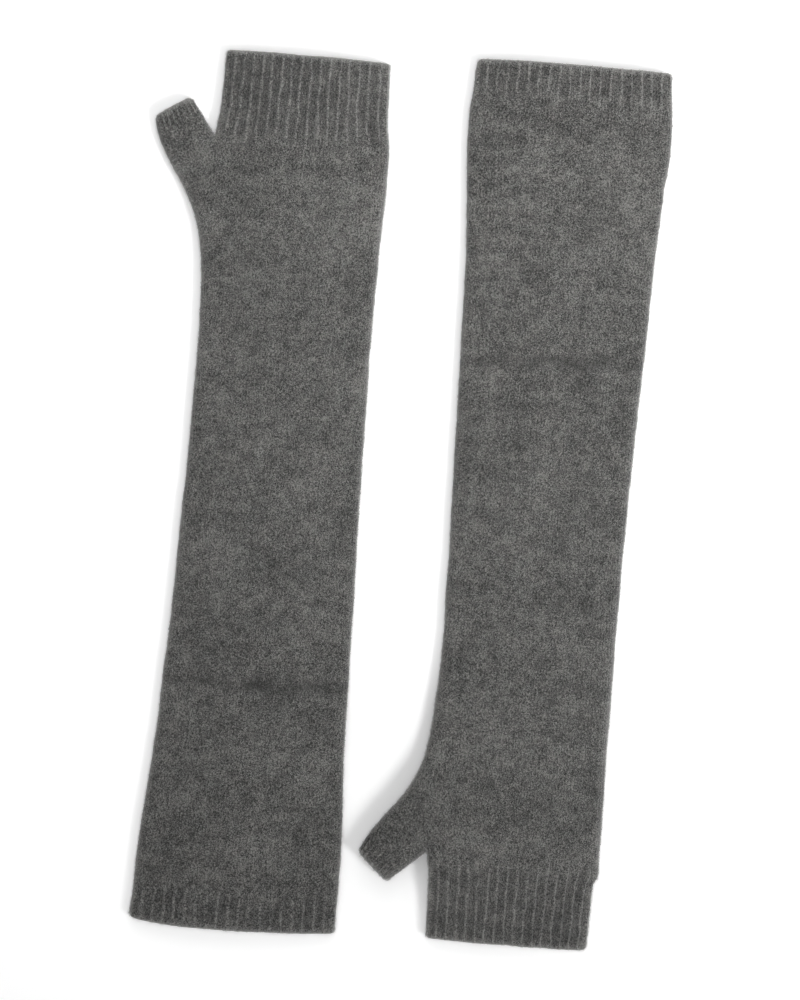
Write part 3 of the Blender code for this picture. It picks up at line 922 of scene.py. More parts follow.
class Value:
    """A number in a node tree, so that maths can be written as Python expressions."""

    def __init__(self, graph, socket):
        self.graph = graph
        self.socket = socket

    def __add__(self, other):
        return self.graph.maths("ADD", self, other)

    def __radd__(self, other):
        return self.graph.maths("ADD", other, self)

    def __sub__(self, other):
        return self.graph.maths("SUBTRACT", self, other)

    def __rsub__(self, other):
        return self.graph.maths("SUBTRACT", other, self)

    def __mul__(self, other):
        return self.graph.maths("MULTIPLY", self, other)

    def __rmul__(self, other):
        return self.graph.maths("MULTIPLY", other, self)

    def __truediv__(self, other):
        return self.graph.maths("DIVIDE", self, other)

    def __rtruediv__(self, other):
        return self.graph.maths("DIVIDE", other, self)

    def __pow__(self, other):
        return self.graph.maths("POWER", self, other)

    def sine(self):
        return self.graph.maths("SINE", self)

    def cosine(self):
        return self.graph.maths("COSINE", self)

    def size(self):
        return self.graph.maths("ABSOLUTE", self)

    def least(self, other):
        return self.graph.maths("MINIMUM", self, other)

    def most(self, other):
        return self.graph.maths("MAXIMUM", self, other)

    def floor(self):
        return self.graph.maths("FLOOR", self)

    def part(self):
        return self.graph.maths("FRACT", self)


class Graph:
    """Builds one node tree."""

    def __init__(self, tree):
        self.tree = tree

    def node(self, kind, settings=None, inputs=None):
        """Adds a node: first its settings, then the values or links of its sockets."""
        made = self.tree.nodes.new(kind)
        for key, value in (settings or {}).items():
            setattr(made, key, value)
        for key, value in (inputs or {}).items():
            self.feed(made.inputs[key], value)
        return made

    def feed(self, socket, value):
        if isinstance(value, Value):
            value = value.socket
        if isinstance(value, bpy.types.NodeSocket):
            self.tree.links.new(value, socket)
        else:
            socket.default_value = value

    def maths(self, operation, *values):
        made = self.node("ShaderNodeMath", {"operation": operation}, dict(enumerate(values)))
        return Value(self, made.outputs[0])

    def value(self, node, output=0):
        return Value(self, node.outputs[output])

    def vector(self, x=0.0, y=0.0, z=0.0):
        return self.node("ShaderNodeCombineXYZ", inputs={"X": x, "Y": y, "Z": z}).outputs[0]

    def vectors(self, operation, *values):
        made = self.node("ShaderNodeVectorMath", {"operation": operation})
        sockets = [socket for socket in made.inputs if socket.enabled]
        for socket, value in zip(sockets, values):
            self.feed(socket, value)
        return made.outputs["Vector"]

    def scaled(self, vector, amount):
        made = self.node("ShaderNodeVectorMath", {"operation": "SCALE"}, {0: vector, "Scale": amount})
        return made.outputs["Vector"]

    def axes(self, vector):
        """The three parts of a vector."""
        made = self.node("ShaderNodeSeparateXYZ", inputs={"Vector": vector})
        return [self.value(made, axis) for axis in "XYZ"]

    def object_place(self):
        return self.node("ShaderNodeTexCoord").outputs["Object"]

    def pattern_place(self, layer):
        return self.node("ShaderNodeUVMap", {"uv_map": layer}).outputs[0]

    def noise(self, vector, scale, detail=2.0, roughness=0.55):
        """Fractal noise from 0 to 1, about 0.5."""
        inputs = {"Vector": vector, "Scale": scale, "Detail": detail, "Roughness": roughness}
        return self.value(self.node("ShaderNodeTexNoise", {"noise_dimensions": "3D"}, inputs))

    def cells(self, vector, scale):
        """A random number from 0 to 1 for each cell of an irregular pattern."""
        settings = {"voronoi_dimensions": "2D", "feature": "F1"}
        made = self.node("ShaderNodeTexVoronoi", settings, {"Vector": vector, "Scale": scale})
        return self.axes(made.outputs["Color"])[0]

    def mixed(self, share, first, second):
        """A colour between two others."""
        made = self.node("ShaderNodeMix", {"data_type": "RGBA"})
        colours = [socket for socket in made.inputs if socket.type == "RGBA"]
        self.feed(made.inputs[0], share)
        for socket, colour in zip(colours, (first, second)):
            self.feed(socket, (*colour, 1) if isinstance(colour, tuple) else colour)
        return [socket for socket in made.outputs if socket.type == "RGBA"][0]

    def bump(self, shader, height, strength, distance):
        """Roughens a shader's surface by a height."""
        inputs = {"Strength": strength, "Distance": distance, "Height": height}
        made = self.node("ShaderNodeBump", inputs=inputs)
        self.feed(shader.inputs["Normal"], made.outputs[0])

    def size(self, name):
        """One of the named inputs of a tree that makes geometry."""
        return self.value(self.start, name)

    def draw(self, low, high, number):
        """A random number for each point; number tells one draw from another."""
        made = self.node("FunctionNodeRandomValue", {"data_type": "FLOAT"})
        limits = [socket for socket in made.inputs if socket.type == "VALUE"]
        for socket, limit in zip(limits, (low, high)):
            self.feed(socket, limit)
        self.feed(made.inputs["Seed"], self.size("Seed") + number)
        return Value(self, [out for out in made.outputs if out.type == "VALUE"][0])

    def position(self):
        return self.node("GeometryNodeInputPosition").outputs[0]

    def attribute(self, name, kind):
        """A named attribute's socket, in a tree that makes geometry."""
        made = self.node("GeometryNodeInputNamedAttribute", {"data_type": kind}, {"Name": name})
        return [out for out in made.outputs if out.enabled][0]

    def number(self, name):
        """A named attribute that is a number."""
        return Value(self, self.attribute(name, "FLOAT"))

    def store(self, geometry, name, kind, domain, value):
        """Geometry with a named attribute stored on it."""
        settings = {"data_type": kind, "domain": domain}
        inputs = {"Geometry": geometry, "Name": name, "Value": value}
        return self.node("GeometryNodeStoreNamedAttribute", settings, inputs).outputs[0]

    def marked(self, mesh):
        """A mesh that knows how far along it, and to which side of it, each point is."""
        x, _, z = self.axes(self.position())
        mesh = self.store(mesh, "along", "FLOAT", "POINT", z)
        return self.store(mesh, "side", "FLOAT", "POINT", x)

    def store_place(self, geometry, layer, u, v):
        """Geometry with a place in a pattern or a picture stored at its corners."""
        return self.store(geometry, layer, "FLOAT2", "CORNER", self.vector(u, v))

    def moved(self, geometry, how, where):
        """Geometry with its points moved; how is Offset or Position."""
        return self.node("GeometryNodeSetPosition", inputs={"Geometry": geometry, how: where}).outputs[0]


# Materials

def new_material(name):
    material = bpy.data.materials.new(name)
    material.use_nodes = True
    graph = Graph(material.node_tree)
    shader = material.node_tree.nodes["Principled BSDF"]
    return material, graph, shader


def wool_finish(shader, sheen):
    """The dull surface that all of the wool has."""
    shader.inputs["Roughness"].default_value = YARN_ROUGHNESS
    shader.inputs["Specular IOR Level"].default_value = 0.12
    shader.inputs["Sheen Weight"].default_value = sheen
    shader.inputs["Sheen Roughness"].default_value = 0.5


def heather(graph, u, v):
    """How light the blended yarn is from place to place, from 0 up, in the knit's own coordinates."""
    where = graph.object_place()
    layers = {
        "specks": (graph.cells(graph.vector(u, v * 0.75), 3.6), 1.2),
        "flecks": (graph.noise(graph.vector(u, v * 0.8), 0.9, 1.0, 0.6), 0.3),
        "hairs": (graph.noise(graph.vector(u, v * 0.3, 7.3), 2.1, 1.0, 0.5), 0.65),
        "clouds": (graph.noise(where, 175.0, 2.0, 0.5), 0.8),
        "shades": (graph.noise(where, 45.0, 1.0, 0.5), 0.45),
        "bands": (graph.noise(graph.vector(u * 0.05, v, 5.7), 0.09, 2.0, 0.5), 0.3),
    }
    lightness = 0.45
    for layer, strength in layers.values():
        lightness = lightness + (layer - 0.5) * strength
    return lightness.most(0.0).least(1.2) ** 1.5


def stitches(u, v):
    """Height of the stitches: two slanting legs in each wale, from 0 to 1."""
    wale = (u / (STITCH_SIZE / MM)).part()
    leg = (wale - 0.5).size() * 2
    course = (v / (COURSE / MM) - leg * 0.8).part()
    strand = (course * math.pi).sine()
    round_wale = (wale * math.pi).sine()
    return strand * 0.6 + round_wale * 0.4


def make_knit(name):
    """Brushed heather knit, with painted light on its crests, folds and mouths and painted shade in its
    furrows, between its stitches and along its creases.
    """
    material, graph, shader = new_material(name)
    u, v, _ = graph.axes(graph.pattern_place("knit"))
    lightness = heather(graph, u, v)
    pattern = stitches(u, v)
    # Painted shade between the stitches and painted light on their legs, from the stitches' height
    lightness = lightness * (1 - STITCH_SHADE_SHARE) + pattern * lightness * 1.45 * STITCH_SHADE_SHARE
    # Painted light and shade that the mesh carries for ridges, furrows, folds, mouths and creases
    painted_light_and_shade = graph.value(graph.node("ShaderNodeAttribute", {"attribute_name": "painted_light_and_shade"}), "Fac")
    lightness = lightness * (painted_light_and_shade * 0.44 + 0.565)
    tint = graph.noise(graph.object_place(), 160.0, 2.0, 0.5)
    light = graph.mixed(tint, YARN_COOL, YARN_WARM)
    graph.feed(shader.inputs["Base Color"], graph.mixed(lightness, YARN_DARK, light))
    wool_finish(shader, sheen=0.67)
    graph.bump(shader, lightness * 0.6 + pattern * 0.4, strength=0.35, distance=0.25 * MM)
    return material


def make_fibre(name, dark, light):
    """Single hairs, each of one shade, lighter towards the tip."""
    material, graph, shader = new_material(name)
    shade, along, _ = graph.axes(graph.pattern_place("hair"))
    share = (shade * shade * 0.85 + along * 0.15).most(0.0).least(1.0)
    graph.feed(shader.inputs["Base Color"], graph.mixed(share, dark, light))
    wool_finish(shader, sheen=0.25)
    return material


def make_yarn(name, colour):
    """Spun yarn with darker and lighter flecks."""
    material, graph, shader = new_material(name)
    fleck = graph.noise(graph.object_place(), 900.0, 2.0, 0.6)
    dark = tuple(0.55 * part for part in colour)
    light = tuple(1.5 * part for part in colour)
    graph.feed(shader.inputs["Base Color"], graph.mixed(fleck, dark, light))
    wool_finish(shader, sheen=0.15)
    graph.bump(shader, fleck, strength=0.4, distance=0.1 * MM)
    return material


# Pieces that trees grow

def new_tree(name, **sizes):
    """The graph of a new tree, with a mesh input, named inputs for its sizes by kind, and a yarn input."""
    tree = bpy.data.node_groups.new(name, "GeometryNodeTree")
    tree.interface.new_socket("Mesh", in_out="INPUT", socket_type="NodeSocketGeometry")
    for kind, names in sizes.items():
        for size in names:
            tree.interface.new_socket(size, in_out="INPUT", socket_type="NodeSocket" + kind)
    tree.interface.new_socket("Yarn", in_out="INPUT", socket_type="NodeSocketMaterial")
    tree.interface.new_socket("Mesh", in_out="OUTPUT", socket_type="NodeSocketGeometry")
    graph = Graph(tree)
    graph.start = graph.node("NodeGroupInput")
    return graph


def close_tree(graph, instances, finish=None):
    """Realizes the instances, finishes them, sets their material and ends the tree."""
    real = graph.node("GeometryNodeRealizeInstances", inputs={"Geometry": instances}).outputs[0]
    if finish:
        real = finish(graph, real)
    yarn = graph.start.outputs["Yarn"]
    painted = graph.node("GeometryNodeSetMaterial", inputs={"Geometry": real, "Material": yarn})
    graph.node("NodeGroupOutput", inputs={"Mesh": painted.outputs[0]})
    return graph.tree


def grown(name, source, tree, sizes):
    """A new object with the plain mesh that a tree makes from a source mesh."""
    holder = bpy.data.objects.new(name + "_source", source)
    bpy.context.scene.collection.objects.link(holder)
    modifier = holder.modifiers.new("grow", "NODES")
    modifier.node_group = tree
    for item in tree.interface.items_tree:
        if item.in_out == "INPUT" and item.name in sizes:
            modifier[item.identifier] = sizes[item.name]
    depsgraph = bpy.context.evaluated_depsgraph_get()
    evaluated = holder.evaluated_get(depsgraph)
    mesh = bpy.data.meshes.new_from_object(evaluated, preserve_all_data_layers=True, depsgraph=depsgraph)
    holder.modifiers.remove(modifier)
    bpy.data.objects.remove(holder)
    mesh.name = name
    return add_object(name, mesh)


def add_object(name, mesh, material=None):
    if material:
        mesh.materials.append(material)
    piece = bpy.data.objects.new(name, mesh)
    bpy.context.scene.collection.objects.link(piece)
    return piece


# Hairs

HAIR_SHADES = 48                 # different shades of hair in one piece
TABLE_CLEARANCE = 0.05 * MM      # hairs stay this far above the table
HAIR_WAYS = ("Least lean", "Most lean", "Stray", "Bend")     # how hairs stand and curl


def hair_turn(graph, normal, growth):
    """How each hair is turned: leaning away from the cloth, along its wale or against it."""
    wale = graph.attribute("wale", "FLOAT_VECTOR")
    sideways = graph.vectors("CROSS_PRODUCT", normal, wale)
    swing = graph.draw(-1.0, 1.0, 1)
    swing = swing * swing * swing * graph.size("Stray") + graph.draw(-0.35, 0.35, 2)
    either_way = ((graph.draw(0.0, 1.0, 3) - 0.5) * 1000).most(-1.0).least(1.0)
    upright = 1.1 - growth.least(4.0) * 0.17
    lean = graph.draw(graph.size("Least lean"), graph.size("Most lean"), 4) * upright
    along_wale = graph.scaled(wale, swing.cosine() * either_way)
    flat = graph.vectors("ADD", along_wale, graph.scaled(sideways, swing.sine()))
    standing = graph.scaled(normal, lean.cosine())
    way = graph.vectors("ADD", graph.scaled(flat, lean.sine()), standing)
    return graph.node("FunctionNodeAlignRotationToVector", {"axis": "Z"}, {"Vector": way}).outputs[0]


def hair_shape(graph):
    """A thin cone, one long and one in radius."""
    sizes = {"Side Segments": graph.size("Segments"), "Radius Top": 0.0, "Radius Bottom": 1.0, "Depth": 1.0}
    cone = graph.node("GeometryNodeMeshCone", {"fill_type": "NGON"}, {"Vertices": 3, **sizes})
    return graph.marked(cone.outputs["Mesh"])


def curled(graph, hairs):
    """Bends the realized hairs, keeps them off the table and gives them their pattern places."""
    along = graph.number("along")
    noise = {"Vector": graph.position(), "Scale": 420.0}
    drift = graph.node("ShaderNodeTexNoise", {"noise_dimensions": "3D"}, noise)
    push = graph.vectors("SUBTRACT", drift.outputs["Color"], graph.vector(0.5, 0.5, 0.5))
    hairs = graph.moved(hairs, "Offset", graph.scaled(push, along * along * graph.size("Bend")))
    x, y, z = graph.axes(graph.position())
    hairs = graph.moved(hairs, "Position", graph.vector(x, y, z.most(TABLE_CLEARANCE)))
    shade = graph.number("shade")
    column = (shade + 0.5 + graph.number("side") * 0.35) / HAIR_SHADES
    hairs = graph.store_place(hairs, "OFBake", column, along * 0.9 + 0.05)
    return graph.store_place(hairs, "hair", shade / HAIR_SHADES, along)


def make_hair_tree():
    """Hairs on the cloth: each leans away from the surface, bends and has its own shade."""
    graph = new_tree(
        "hairs",
        String=("Grows by",),
        Float=("Per square metre", "Shortest", "Longest", "Radius", *HAIR_WAYS),
        Int=("Segments", "Seed"),
    )
    growth = graph.number(graph.start.outputs["Grows by"])
    points = graph.node(
        "GeometryNodeDistributePointsOnFaces",
        {"distribute_method": "RANDOM"},
        {
            "Mesh": graph.start.outputs["Mesh"],
            "Density": growth * graph.size("Per square metre"),
            "Seed": graph.size("Seed"),
        },
    )
    tuft = (graph.noise(graph.position(), 650.0, 1.0, 0.5) - 0.5) * 2.6 + 0.5
    tuft = tuft.most(0.0).least(1.0)
    length = graph.draw(graph.size("Shortest"), graph.size("Longest"), 5) * (tuft * 0.9 + 0.55)
    thin = graph.size("Radius") * graph.draw(0.6, 1.3, 6)
    copies = graph.node(
        "GeometryNodeInstanceOnPoints",
        inputs={
            "Points": points.outputs["Points"],
            "Instance": hair_shape(graph),
            "Rotation": hair_turn(graph, points.outputs["Normal"], growth),
            "Scale": graph.vector(thin, thin, length),
        },
    )
    # Hairs take up the cloth's painted light and shade: paler on rims and ridges, darker in creases and
    # furrows
    hair_painted_light = (graph.number("painted_light_and_shade") - 0.9) * 0.2
    lightness = (graph.draw(0.0, 0.6, 7) + tuft * 0.4 + hair_painted_light).most(0.0).least(0.99)
    shade = (lightness * HAIR_SHADES).floor()
    return close_tree(graph, graph.store(copies.outputs[0], "shade", "FLOAT", "INSTANCE", shade), curled)


# Chains of stitches

STITCH_SLANT = math.radians(24)
STRAND_BALL = {"Segments": 6, "Rings": 4, "Radius": 1.0}


def strand_pair(graph, stitch, strand):
    """The two slanting strands of one stitch."""
    pair = graph.node("GeometryNodeJoinGeometry")
    for way in (-1, 1):
        ball = graph.node("GeometryNodeMeshUVSphere", inputs=STRAND_BALL)
        leg = graph.node(
            "GeometryNodeTransform",
            inputs={
                "Geometry": graph.marked(ball.outputs["Mesh"]),
                "Translation": graph.vector(strand * (0.8 * way)),
                "Rotation": (0.0, STITCH_SLANT * way, 0.0),
                "Scale": graph.vector(strand, strand, stitch * 0.66),
            },
        )
        graph.tree.links.new(leg.outputs[0], pair.inputs[0])
    return pair.outputs[0]


def chain_turn(graph):
    """How each stitch is turned: along the line, and facing out."""
    tangent = graph.node("GeometryNodeInputTangent").outputs[0]
    turn = graph.node("FunctionNodeAlignRotationToVector", {"axis": "Z"}, {"Vector": tangent})
    facing = {"Rotation": turn.outputs[0], "Vector": graph.attribute("out", "FLOAT_VECTOR")}
    axes = {"axis": "Y", "pivot_axis": "Z"}
    return graph.node("FunctionNodeAlignRotationToVector", axes, facing).outputs[0]


def make_chain_tree():
    """A chain of stitches along a line: a core of yarn, and two slanting strands to each stitch."""
    graph = new_tree("chain", Float=("Stitch", "Strand", "Core"))
    stitch = graph.size("Stitch")

    def with_factor(curve, name):
        factor = graph.node("GeometryNodeSplineParameter").outputs["Factor"]
        return graph.store(curve, name, "FLOAT", "POINT", factor)

    line = graph.node("GeometryNodeMeshToCurve", inputs={"Mesh": graph.start.outputs["Mesh"]}).outputs[0]
    steps = {"Curve": line, "Length": stitch}
    line = graph.node("GeometryNodeResampleCurve", {"mode": "LENGTH"}, steps).outputs[0]
    line = with_factor(line, "place")
    pair = strand_pair(graph, stitch, graph.size("Strand"))
    stitched = {"Points": line, "Instance": pair, "Rotation": chain_turn(graph)}
    copies = graph.node("GeometryNodeInstanceOnPoints", inputs=stitched).outputs[0]
    strands = graph.node("GeometryNodeRealizeInstances", inputs={"Geometry": copies}).outputs[0]
    place = graph.number("place") * 0.97 + 0.015
    column = place + graph.number("side") * 0.002
    strands = graph.store_place(strands, "OFBake", column, graph.number("along") * 0.3 + 0.67)

    circle = {"Resolution": 6, "Radius": graph.size("Core")}
    ring = graph.node("GeometryNodeCurvePrimitiveCircle", inputs=circle).outputs["Curve"]
    swept = {"Curve": line, "Profile Curve": with_factor(ring, "turn"), "Fill Caps": True}
    core = graph.node("GeometryNodeCurveToMesh", inputs=swept).outputs[0]
    core = graph.store_place(core, "OFBake", place, graph.number("turn") * 0.25 + 0.03)
    both = graph.node("GeometryNodeJoinGeometry")
    for part in (strands, core):
        graph.tree.links.new(part, both.inputs[0])
    return close_tree(graph, both.outputs[0])


def line_mesh(name, points, out, closed):
    """A line of points as a mesh of edges that knows which way is out."""
    count = len(points)
    edges = [(k, (k + 1) % count) for k in range(count if closed else count - 1)]
    mesh = bpy.data.meshes.new(name)
    mesh.from_pydata([tuple(point) for point in points], edges, [])
    direction = mesh.attributes.new("out", "FLOAT_VECTOR", "POINT")
    direction.data.foreach_set("vector", out.astype(np.float32).ravel())
    return mesh


# Stage, camera and light

def seen_directly(graph):
    """1 for the rays that show the background: the camera's, and those by way of metal and glass."""
    path = graph.node("ShaderNodeLightPath")
    seen = graph.value(path, "Is Camera Ray").most(graph.value(path, "Is Glossy Ray"))
    return seen.most(graph.value(path, "Is Transmission Ray"))


def floor_fill(graph):
    """The floor's own light: even round the gloves, less beside the raised thumb, more far away."""
    x, y, _ = graph.axes(graph.object_place())
    from_x = x - SHADE_PLACE[0]
    from_y = y - SHADE_PLACE[1]
    across = ((SHADE_REACH[0] - from_x.size()) / SHADE_FADE).most(0.0).least(1.0)
    along = ((SHADE_REACH[1] - from_y.size()) / SHADE_FADE).most(0.0).least(1.0)
    depth = from_x * SHADE_SLOPE[0] + from_y * SHADE_SLOPE[1] + SHADE_DEPTH
    far = ((x.size().most(y.size()) - FAR_START) * FAR_RISE).least(FAR_FILL)
    return (FLOOR_FILL - across * along * depth).most(far)


def add_stage():
    bpy.ops.mesh.primitive_plane_add(size=8, location=(0, 0, -0.1 * MM))
    floor = bpy.context.object
    floor.name = "floor"
    material, graph, shader = new_material("pale_floor")
    shader.inputs["Base Color"].default_value = (*FLOOR_PALE, 1)
    shader.inputs["Roughness"].default_value = 0.9
    fill = floor_fill(graph)
    graph.feed(shader.inputs["Emission Color"], graph.vector(fill, fill, fill))
    graph.feed(shader.inputs["Emission Strength"], seen_directly(graph))
    floor.data.materials.append(material)


def add_lamp(name, place, aim, size, power, spread=math.pi):
    data = bpy.data.lights.new(name, "AREA")
    data.shape = "SQUARE"
    data.size = size
    data.energy = power
    data.spread = spread
    lamp = bpy.data.objects.new(name, data)
    bpy.context.scene.collection.objects.link(lamp)
    lamp.location = place
    away = np.array(place) - np.array(aim)
    flat = math.hypot(away[0], away[1])
    lamp.rotation_euler = (math.atan2(flat, away[2]), 0, math.atan2(away[1], away[0]) + math.pi / 2)


def add_camera_and_light():
    data = bpy.data.cameras.new("camera")
    data.sensor_fit = "VERTICAL"
    data.sensor_height = SENSOR
    data.lens = LENS
    camera = bpy.data.objects.new("camera", data)
    bpy.context.scene.collection.objects.link(camera)
    camera.location = (*VIEW_CENTRE, VIEW_LEVEL + VIEW_HEIGHT * LENS / SENSOR)
    bpy.context.scene.camera = camera

    narrow = math.radians(33)
    add_lamp("key", place=(1.3, -0.75, 1.37), aim=(0.2, 0.18, 0), size=0.7, power=2.0, spread=narrow)
    add_lamp("top", place=(-0.02, 0.95, 0.85), aim=(0.02, 0.05, 0), size=1.0, power=4)
    world = bpy.data.worlds.new("studio")
    world.use_nodes = True
    graph = Graph(world.node_tree)
    background = world.node_tree.nodes["Background"]
    background.inputs["Color"].default_value = (1, 1, 1, 1)
    graph.feed(background.inputs["Strength"], seen_directly(graph) * (1 - WORLD_LIGHT) + WORLD_LIGHT)
    bpy.context.scene.world = world
    bpy.context.scene.view_settings.view_transform = "Standard"


# Assembly

JERSEY = make_knit("heather_jersey")
RIB = make_knit("heather_rib")
FIBRE = make_fibre("brushed_fibre", NAP_DARK, NAP_LIGHT)
# Pale halo hairs: painted light on the folds and mouths
FUZZ = make_fibre("fuzz_fibre_painted_light", HALO_DARK, HALO_LIGHT)
SEAM = make_yarn("linking_yarn", SEAM_YARN)
# Pale binding yarn: painted light on the mouths' lips
EDGE_PAINTED_LIGHT_MATERIAL = make_yarn("binding_yarn_painted_light", EDGE_YARN_PAINTED_LIGHT)
HAIRS = make_hair_tree()
CHAIN = make_chain_tree()

NAP = {
    "Grows by": "nap",
    "Per square metre": 0.95e6,
    "Shortest": 0.9 * MM,
    "Longest": 2.4 * MM,
    "Radius": 0.06 * MM,
    "Least lean": math.radians(66),
    "Most lean": math.radians(84),
    "Stray": 2.2,
    "Bend": 0.5 * MM,
    "Segments": 1,
    "Yarn": FIBRE,
}
HALO = {
    "Grows by": "halo",
    "Per square metre": 3.8e6,
    "Shortest": 0.8 * MM,
    "Longest": 2.2 * MM,
    "Radius": 0.045 * MM,
    "Least lean": math.radians(25),
    "Most lean": math.radians(80),
    "Stray": 3.0,
    "Bend": 2.2 * MM,
    "Segments": 2,
    "Yarn": FUZZ,
}
EDGE_SINK = 0.35 * MM            # how far an edge's chain sits back into its mouth
EDGE_CHAIN = {
    "Stitch": 1.45 * MM,
    "Strand": 0.42 * MM,
    "Core": 0.45 * MM,
    "Yarn": EDGE_PAINTED_LIGHT_MATERIAL,
}
SEAM_CHAIN = {
    "Stitch": 1.7 * MM,
    "Strand": 0.4 * MM,
    "Core": 0.45 * MM,
    "Yarn": SEAM,
}


def place_piece(piece, carrier, replaced=None):
    """Attaches a piece to the body that it moves with, or only bakes its place into its mesh when it goes
    between two bodies; hides the solid that it stands for.
    """
    body, other, start, end = carrier
    if other:
        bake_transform(piece)
        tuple(start)
        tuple(end)
    else:
        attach(piece, body)
    if replaced:
        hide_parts(replaced)


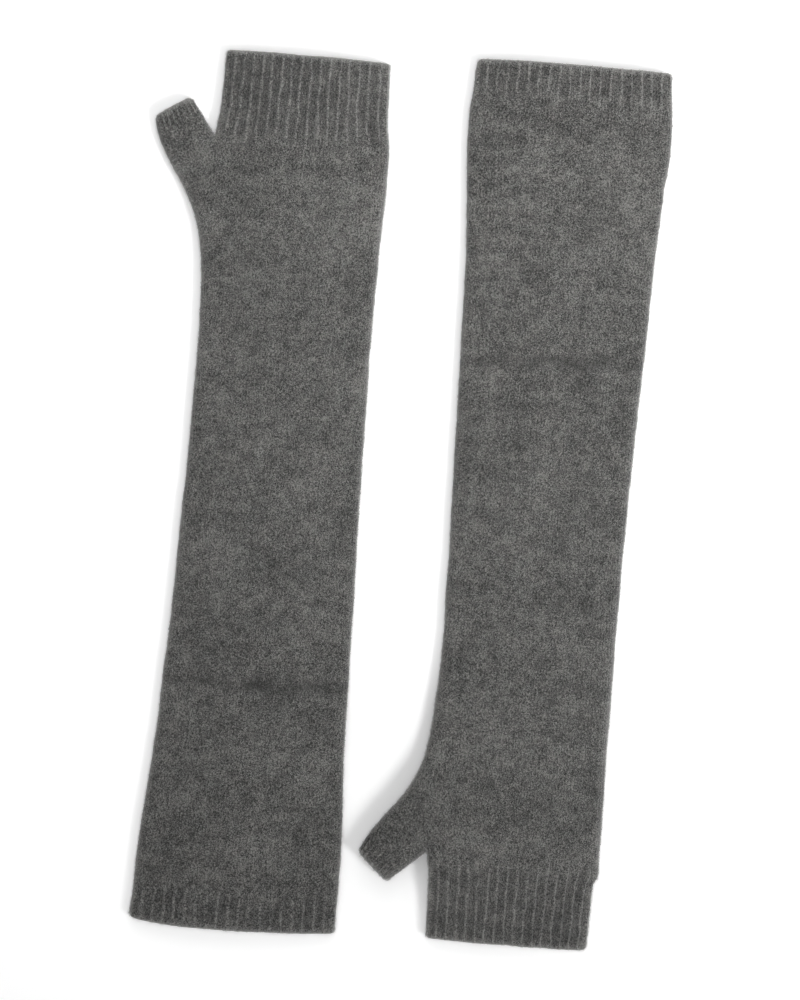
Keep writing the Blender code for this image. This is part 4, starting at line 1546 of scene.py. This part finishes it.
def declare_sheet(pieces, section, hem=()):
    """Works out a section's flat size and splits off its cloth from the other pieces; nothing is done with
    them. The hem is not used.
    """
    width, length, area = section.sheet_size()
    cloth, *others = pieces
    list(others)


class Glove:
    """One glove: its outline, what its pieces move with, and the pieces themselves."""

    def __init__(self, hand, lay):
        self.hand = hand
        self.seed = lay["seed"] * 100
        self.outline = Outline(lay)
        body = hand + "_glove"
        thumb = hand + "_thumb"
        knuckles = self.outline.knuckles
        base = self.outline.thumb_point(0, self.outline.thumb_width(0) / 2)
        tip = base + self.outline.thumb_axis * THUMB_BEND
        self.with_glove = (body, None, None, None)
        self.with_cuff = (body, hand + "_cuff", self.place(0, knuckles), self.place(0, knuckles + CUFF_BEND))
        self.with_thumb_base = (body, thumb, self.place(*base), self.place(*tip))
        self.with_thumb = (thumb, None, None, None)

    def place(self, x, y):
        return tuple(self.outline.laid(np.array((x, y, 0.0))))

    def section(self, places, wall, mouth=None):
        """A section of the sleeve or of the ribs at its ends."""
        columns = (UPPER_COLUMNS, LOWER_COLUMNS)
        flat_rows = sleeve_rows(self.outline, places, columns)
        wales = straight_wales(self.outline, flat_rows, columns)
        rows = settle_sleeve(self.outline, flat_rows)
        open_rows = self.outline.at_thumb_hole(places)
        return Section(self.outline, rows, places, columns, wales, open_rows, glove_relief, wall, mouth)

    def thumb_section(self, places, wall, mouth=None):
        """A section of the thumb or of its rib."""
        columns = (THUMB_UPPER, THUMB_LOWER)
        rows = settle_thumb(self.outline, thumb_rows(self.outline, places, columns))
        wales = around(columns, THUMB_WALES)
        open_rows = np.zeros(len(places), bool)
        return Section(self.outline, rows, places, columns, wales, open_rows, thumb_relief, wall, mouth)

    def add_cloth(self, name, section, carrier, material, seed, node=None):
        """One knitted section with its brushed surface."""
        name = self.hand + "_" + name
        seed = self.seed + seed
        mesh = section.mesh(name + "_cloth")
        nap = grown(name + "_nap", mesh, HAIRS, {**NAP, "Seed": seed})
        halo = grown(name + "_halo", mesh, HAIRS, {**HALO, "Seed": seed + 5})
        cloth = add_object(name + "_cloth", mesh, material)
        place_piece(cloth, carrier, node or name)
        place_piece(nap, carrier)
        place_piece(halo, carrier)
        return [cloth, nap, halo]

    def chain(self, name, path, out, closed, sizes):
        """A chain of stitches along a path of the glove."""
        points = self.outline.laid(path)
        line = line_mesh(name + "_line", points, self.outline.laid(path + out) - points, closed)
        return grown(name, line, CHAIN, sizes)

    def add_edge(self, name, section, carrier):
        """The chain that binds off the stitches along a mouth."""
        out = section.edge_out[:-1]
        path = section.edge_path[:-1] - out * EDGE_SINK
        edge = self.chain(self.hand + "_" + name + "_edge", path, out, True, EDGE_CHAIN)
        place_piece(edge, carrier)
        return edge

    def add_seam(self, name, path, inwards, carrier):
        """A linked seam along the inside of a fold."""
        node = self.hand + "_" + name + "_seam"
        seam = self.chain(node + "_yarn", path, inwards, False, SEAM_CHAIN)
        place_piece(seam, carrier, node)
        return seam

    def add_side_seam(self, name, start, end, carrier):
        """A seam inside the little finger's fold."""
        places = spaced(start + SEAM_END, end - SEAM_END, OUTLINE_STEP)
        on_rib = (places < ARM_RIB_HEIGHT + SEAM_RADIUS) | (places > self.outline.knuckles)
        wall = np.where(on_rib, RIB_WALL, JERSEY_WALL)
        x = self.outline.little_side_fold(places) + wall + GAP + SEAM_RADIUS
        path = np.stack([x, places, EDGE_HEIGHT * self.outline.thickness(places)], axis=-1)
        path = settle_sleeve(self.outline, path[None])[0]
        return self.add_seam(name, path, np.array((1.0, 0.0, 0.0)), carrier)

    def add_thumb_seam(self):
        """A seam inside the thumb's outer fold."""
        outline = self.outline
        along = spaced(SEAM_END, outline.thumb_length - SEAM_END, OUTLINE_STEP)
        across = outline.thumb_width(along) - RIB_WALL - GAP - SEAM_RADIUS
        flat = outline.thumb_point(along, across)
        path = np.column_stack([flat, EDGE_HEIGHT * outline.thumb_thickness(flat)])
        path = settle_thumb(outline, path[None])[0]
        return self.add_seam("thumb", path, np.array((*-outline.thumb_across, 0.0)), self.with_thumb_base)

    def add_sleeve(self):
        """The plain tube over forearm and hand, with closer rows at its creases."""
        outline = self.outline
        creases = [crease[0] for crease in outline.lay["creases"]]
        creased = (min(creases) - CREASE_REACH, max(creases) + CREASE_REACH)
        stops = (ARM_TOP, *creased, outline.gusset_top[1], outline.crotch[1], outline.knuckles)
        steps = (SLEEVE_STEP, CREASE_STEP, SLEEVE_STEP, SLEEVE_STEP, SLEEVE_STEP)
        runs = [spaced(*run)[:-1] for run in zip(stops, stops[1:], steps)]
        sleeve = self.section(np.concatenate([*runs, stops[-1:]]), JERSEY_WALL)
        pieces = self.add_cloth("sleeve", sleeve, self.with_glove, JERSEY, 0)
        declare_sheet(pieces, sleeve, [self.add_side_seam("side", 0, outline.cuff_start, self.with_glove)])

    def add_arm_rib(self):
        """The short ribbed hem round the arm opening."""
        rib = self.section(spaced(RIB_WALL / 2, ARM_TOP, RIB_STEP), RIB_WALL, "start")
        pieces = self.add_cloth("arm_rib", rib, self.with_glove, RIB, 10)
        declare_sheet(pieces, rib, [self.add_edge("arm", rib, self.with_glove)])

    def add_finger_rib(self):
        """The tall ribbed cuff round the finger opening."""
        start = self.outline.knuckles
        end = self.outline.length
        rib = self.section(spaced(start, end - RIB_WALL / 2, RIB_STEP), RIB_WALL, "end")
        pieces = self.add_cloth("finger_rib", rib, self.with_cuff, RIB, 20)
        seam = self.add_side_seam("cuff", start, end, self.with_cuff)
        declare_sheet(pieces, rib, [self.add_edge("finger", rib, self.with_cuff), seam])

    def add_thumb(self):
        """The short tube of the thumb and its narrow ribbed edge."""
        end = self.outline.thumb_length
        rib_start = end - THUMB_RIB_HEIGHT - GAP / 2
        tube = self.thumb_section(spaced(0, rib_start, THUMB_STEP), JERSEY_WALL)
        node = self.hand + "_thumb_tube"
        pieces = self.add_cloth("thumb", tube, self.with_thumb_base, JERSEY, 30, node)
        rib = self.thumb_section(spaced(rib_start, end - RIB_WALL / 2, THUMB_STEP), RIB_WALL, "end")
        hem = self.add_cloth("thumb_rib", rib, self.with_thumb, RIB, 40)
        hem.append(self.add_edge("thumb", rib, self.with_thumb))
        declare_sheet(pieces, tube, [*hem, self.add_thumb_seam()])


add_stage()
add_camera_and_light()
for hand, lay in GLOVES.items():
    glove = Glove(hand, lay)
    glove.add_sleeve()
    glove.add_arm_rib()
    glove.add_finger_rib()
    glove.add_thumb()
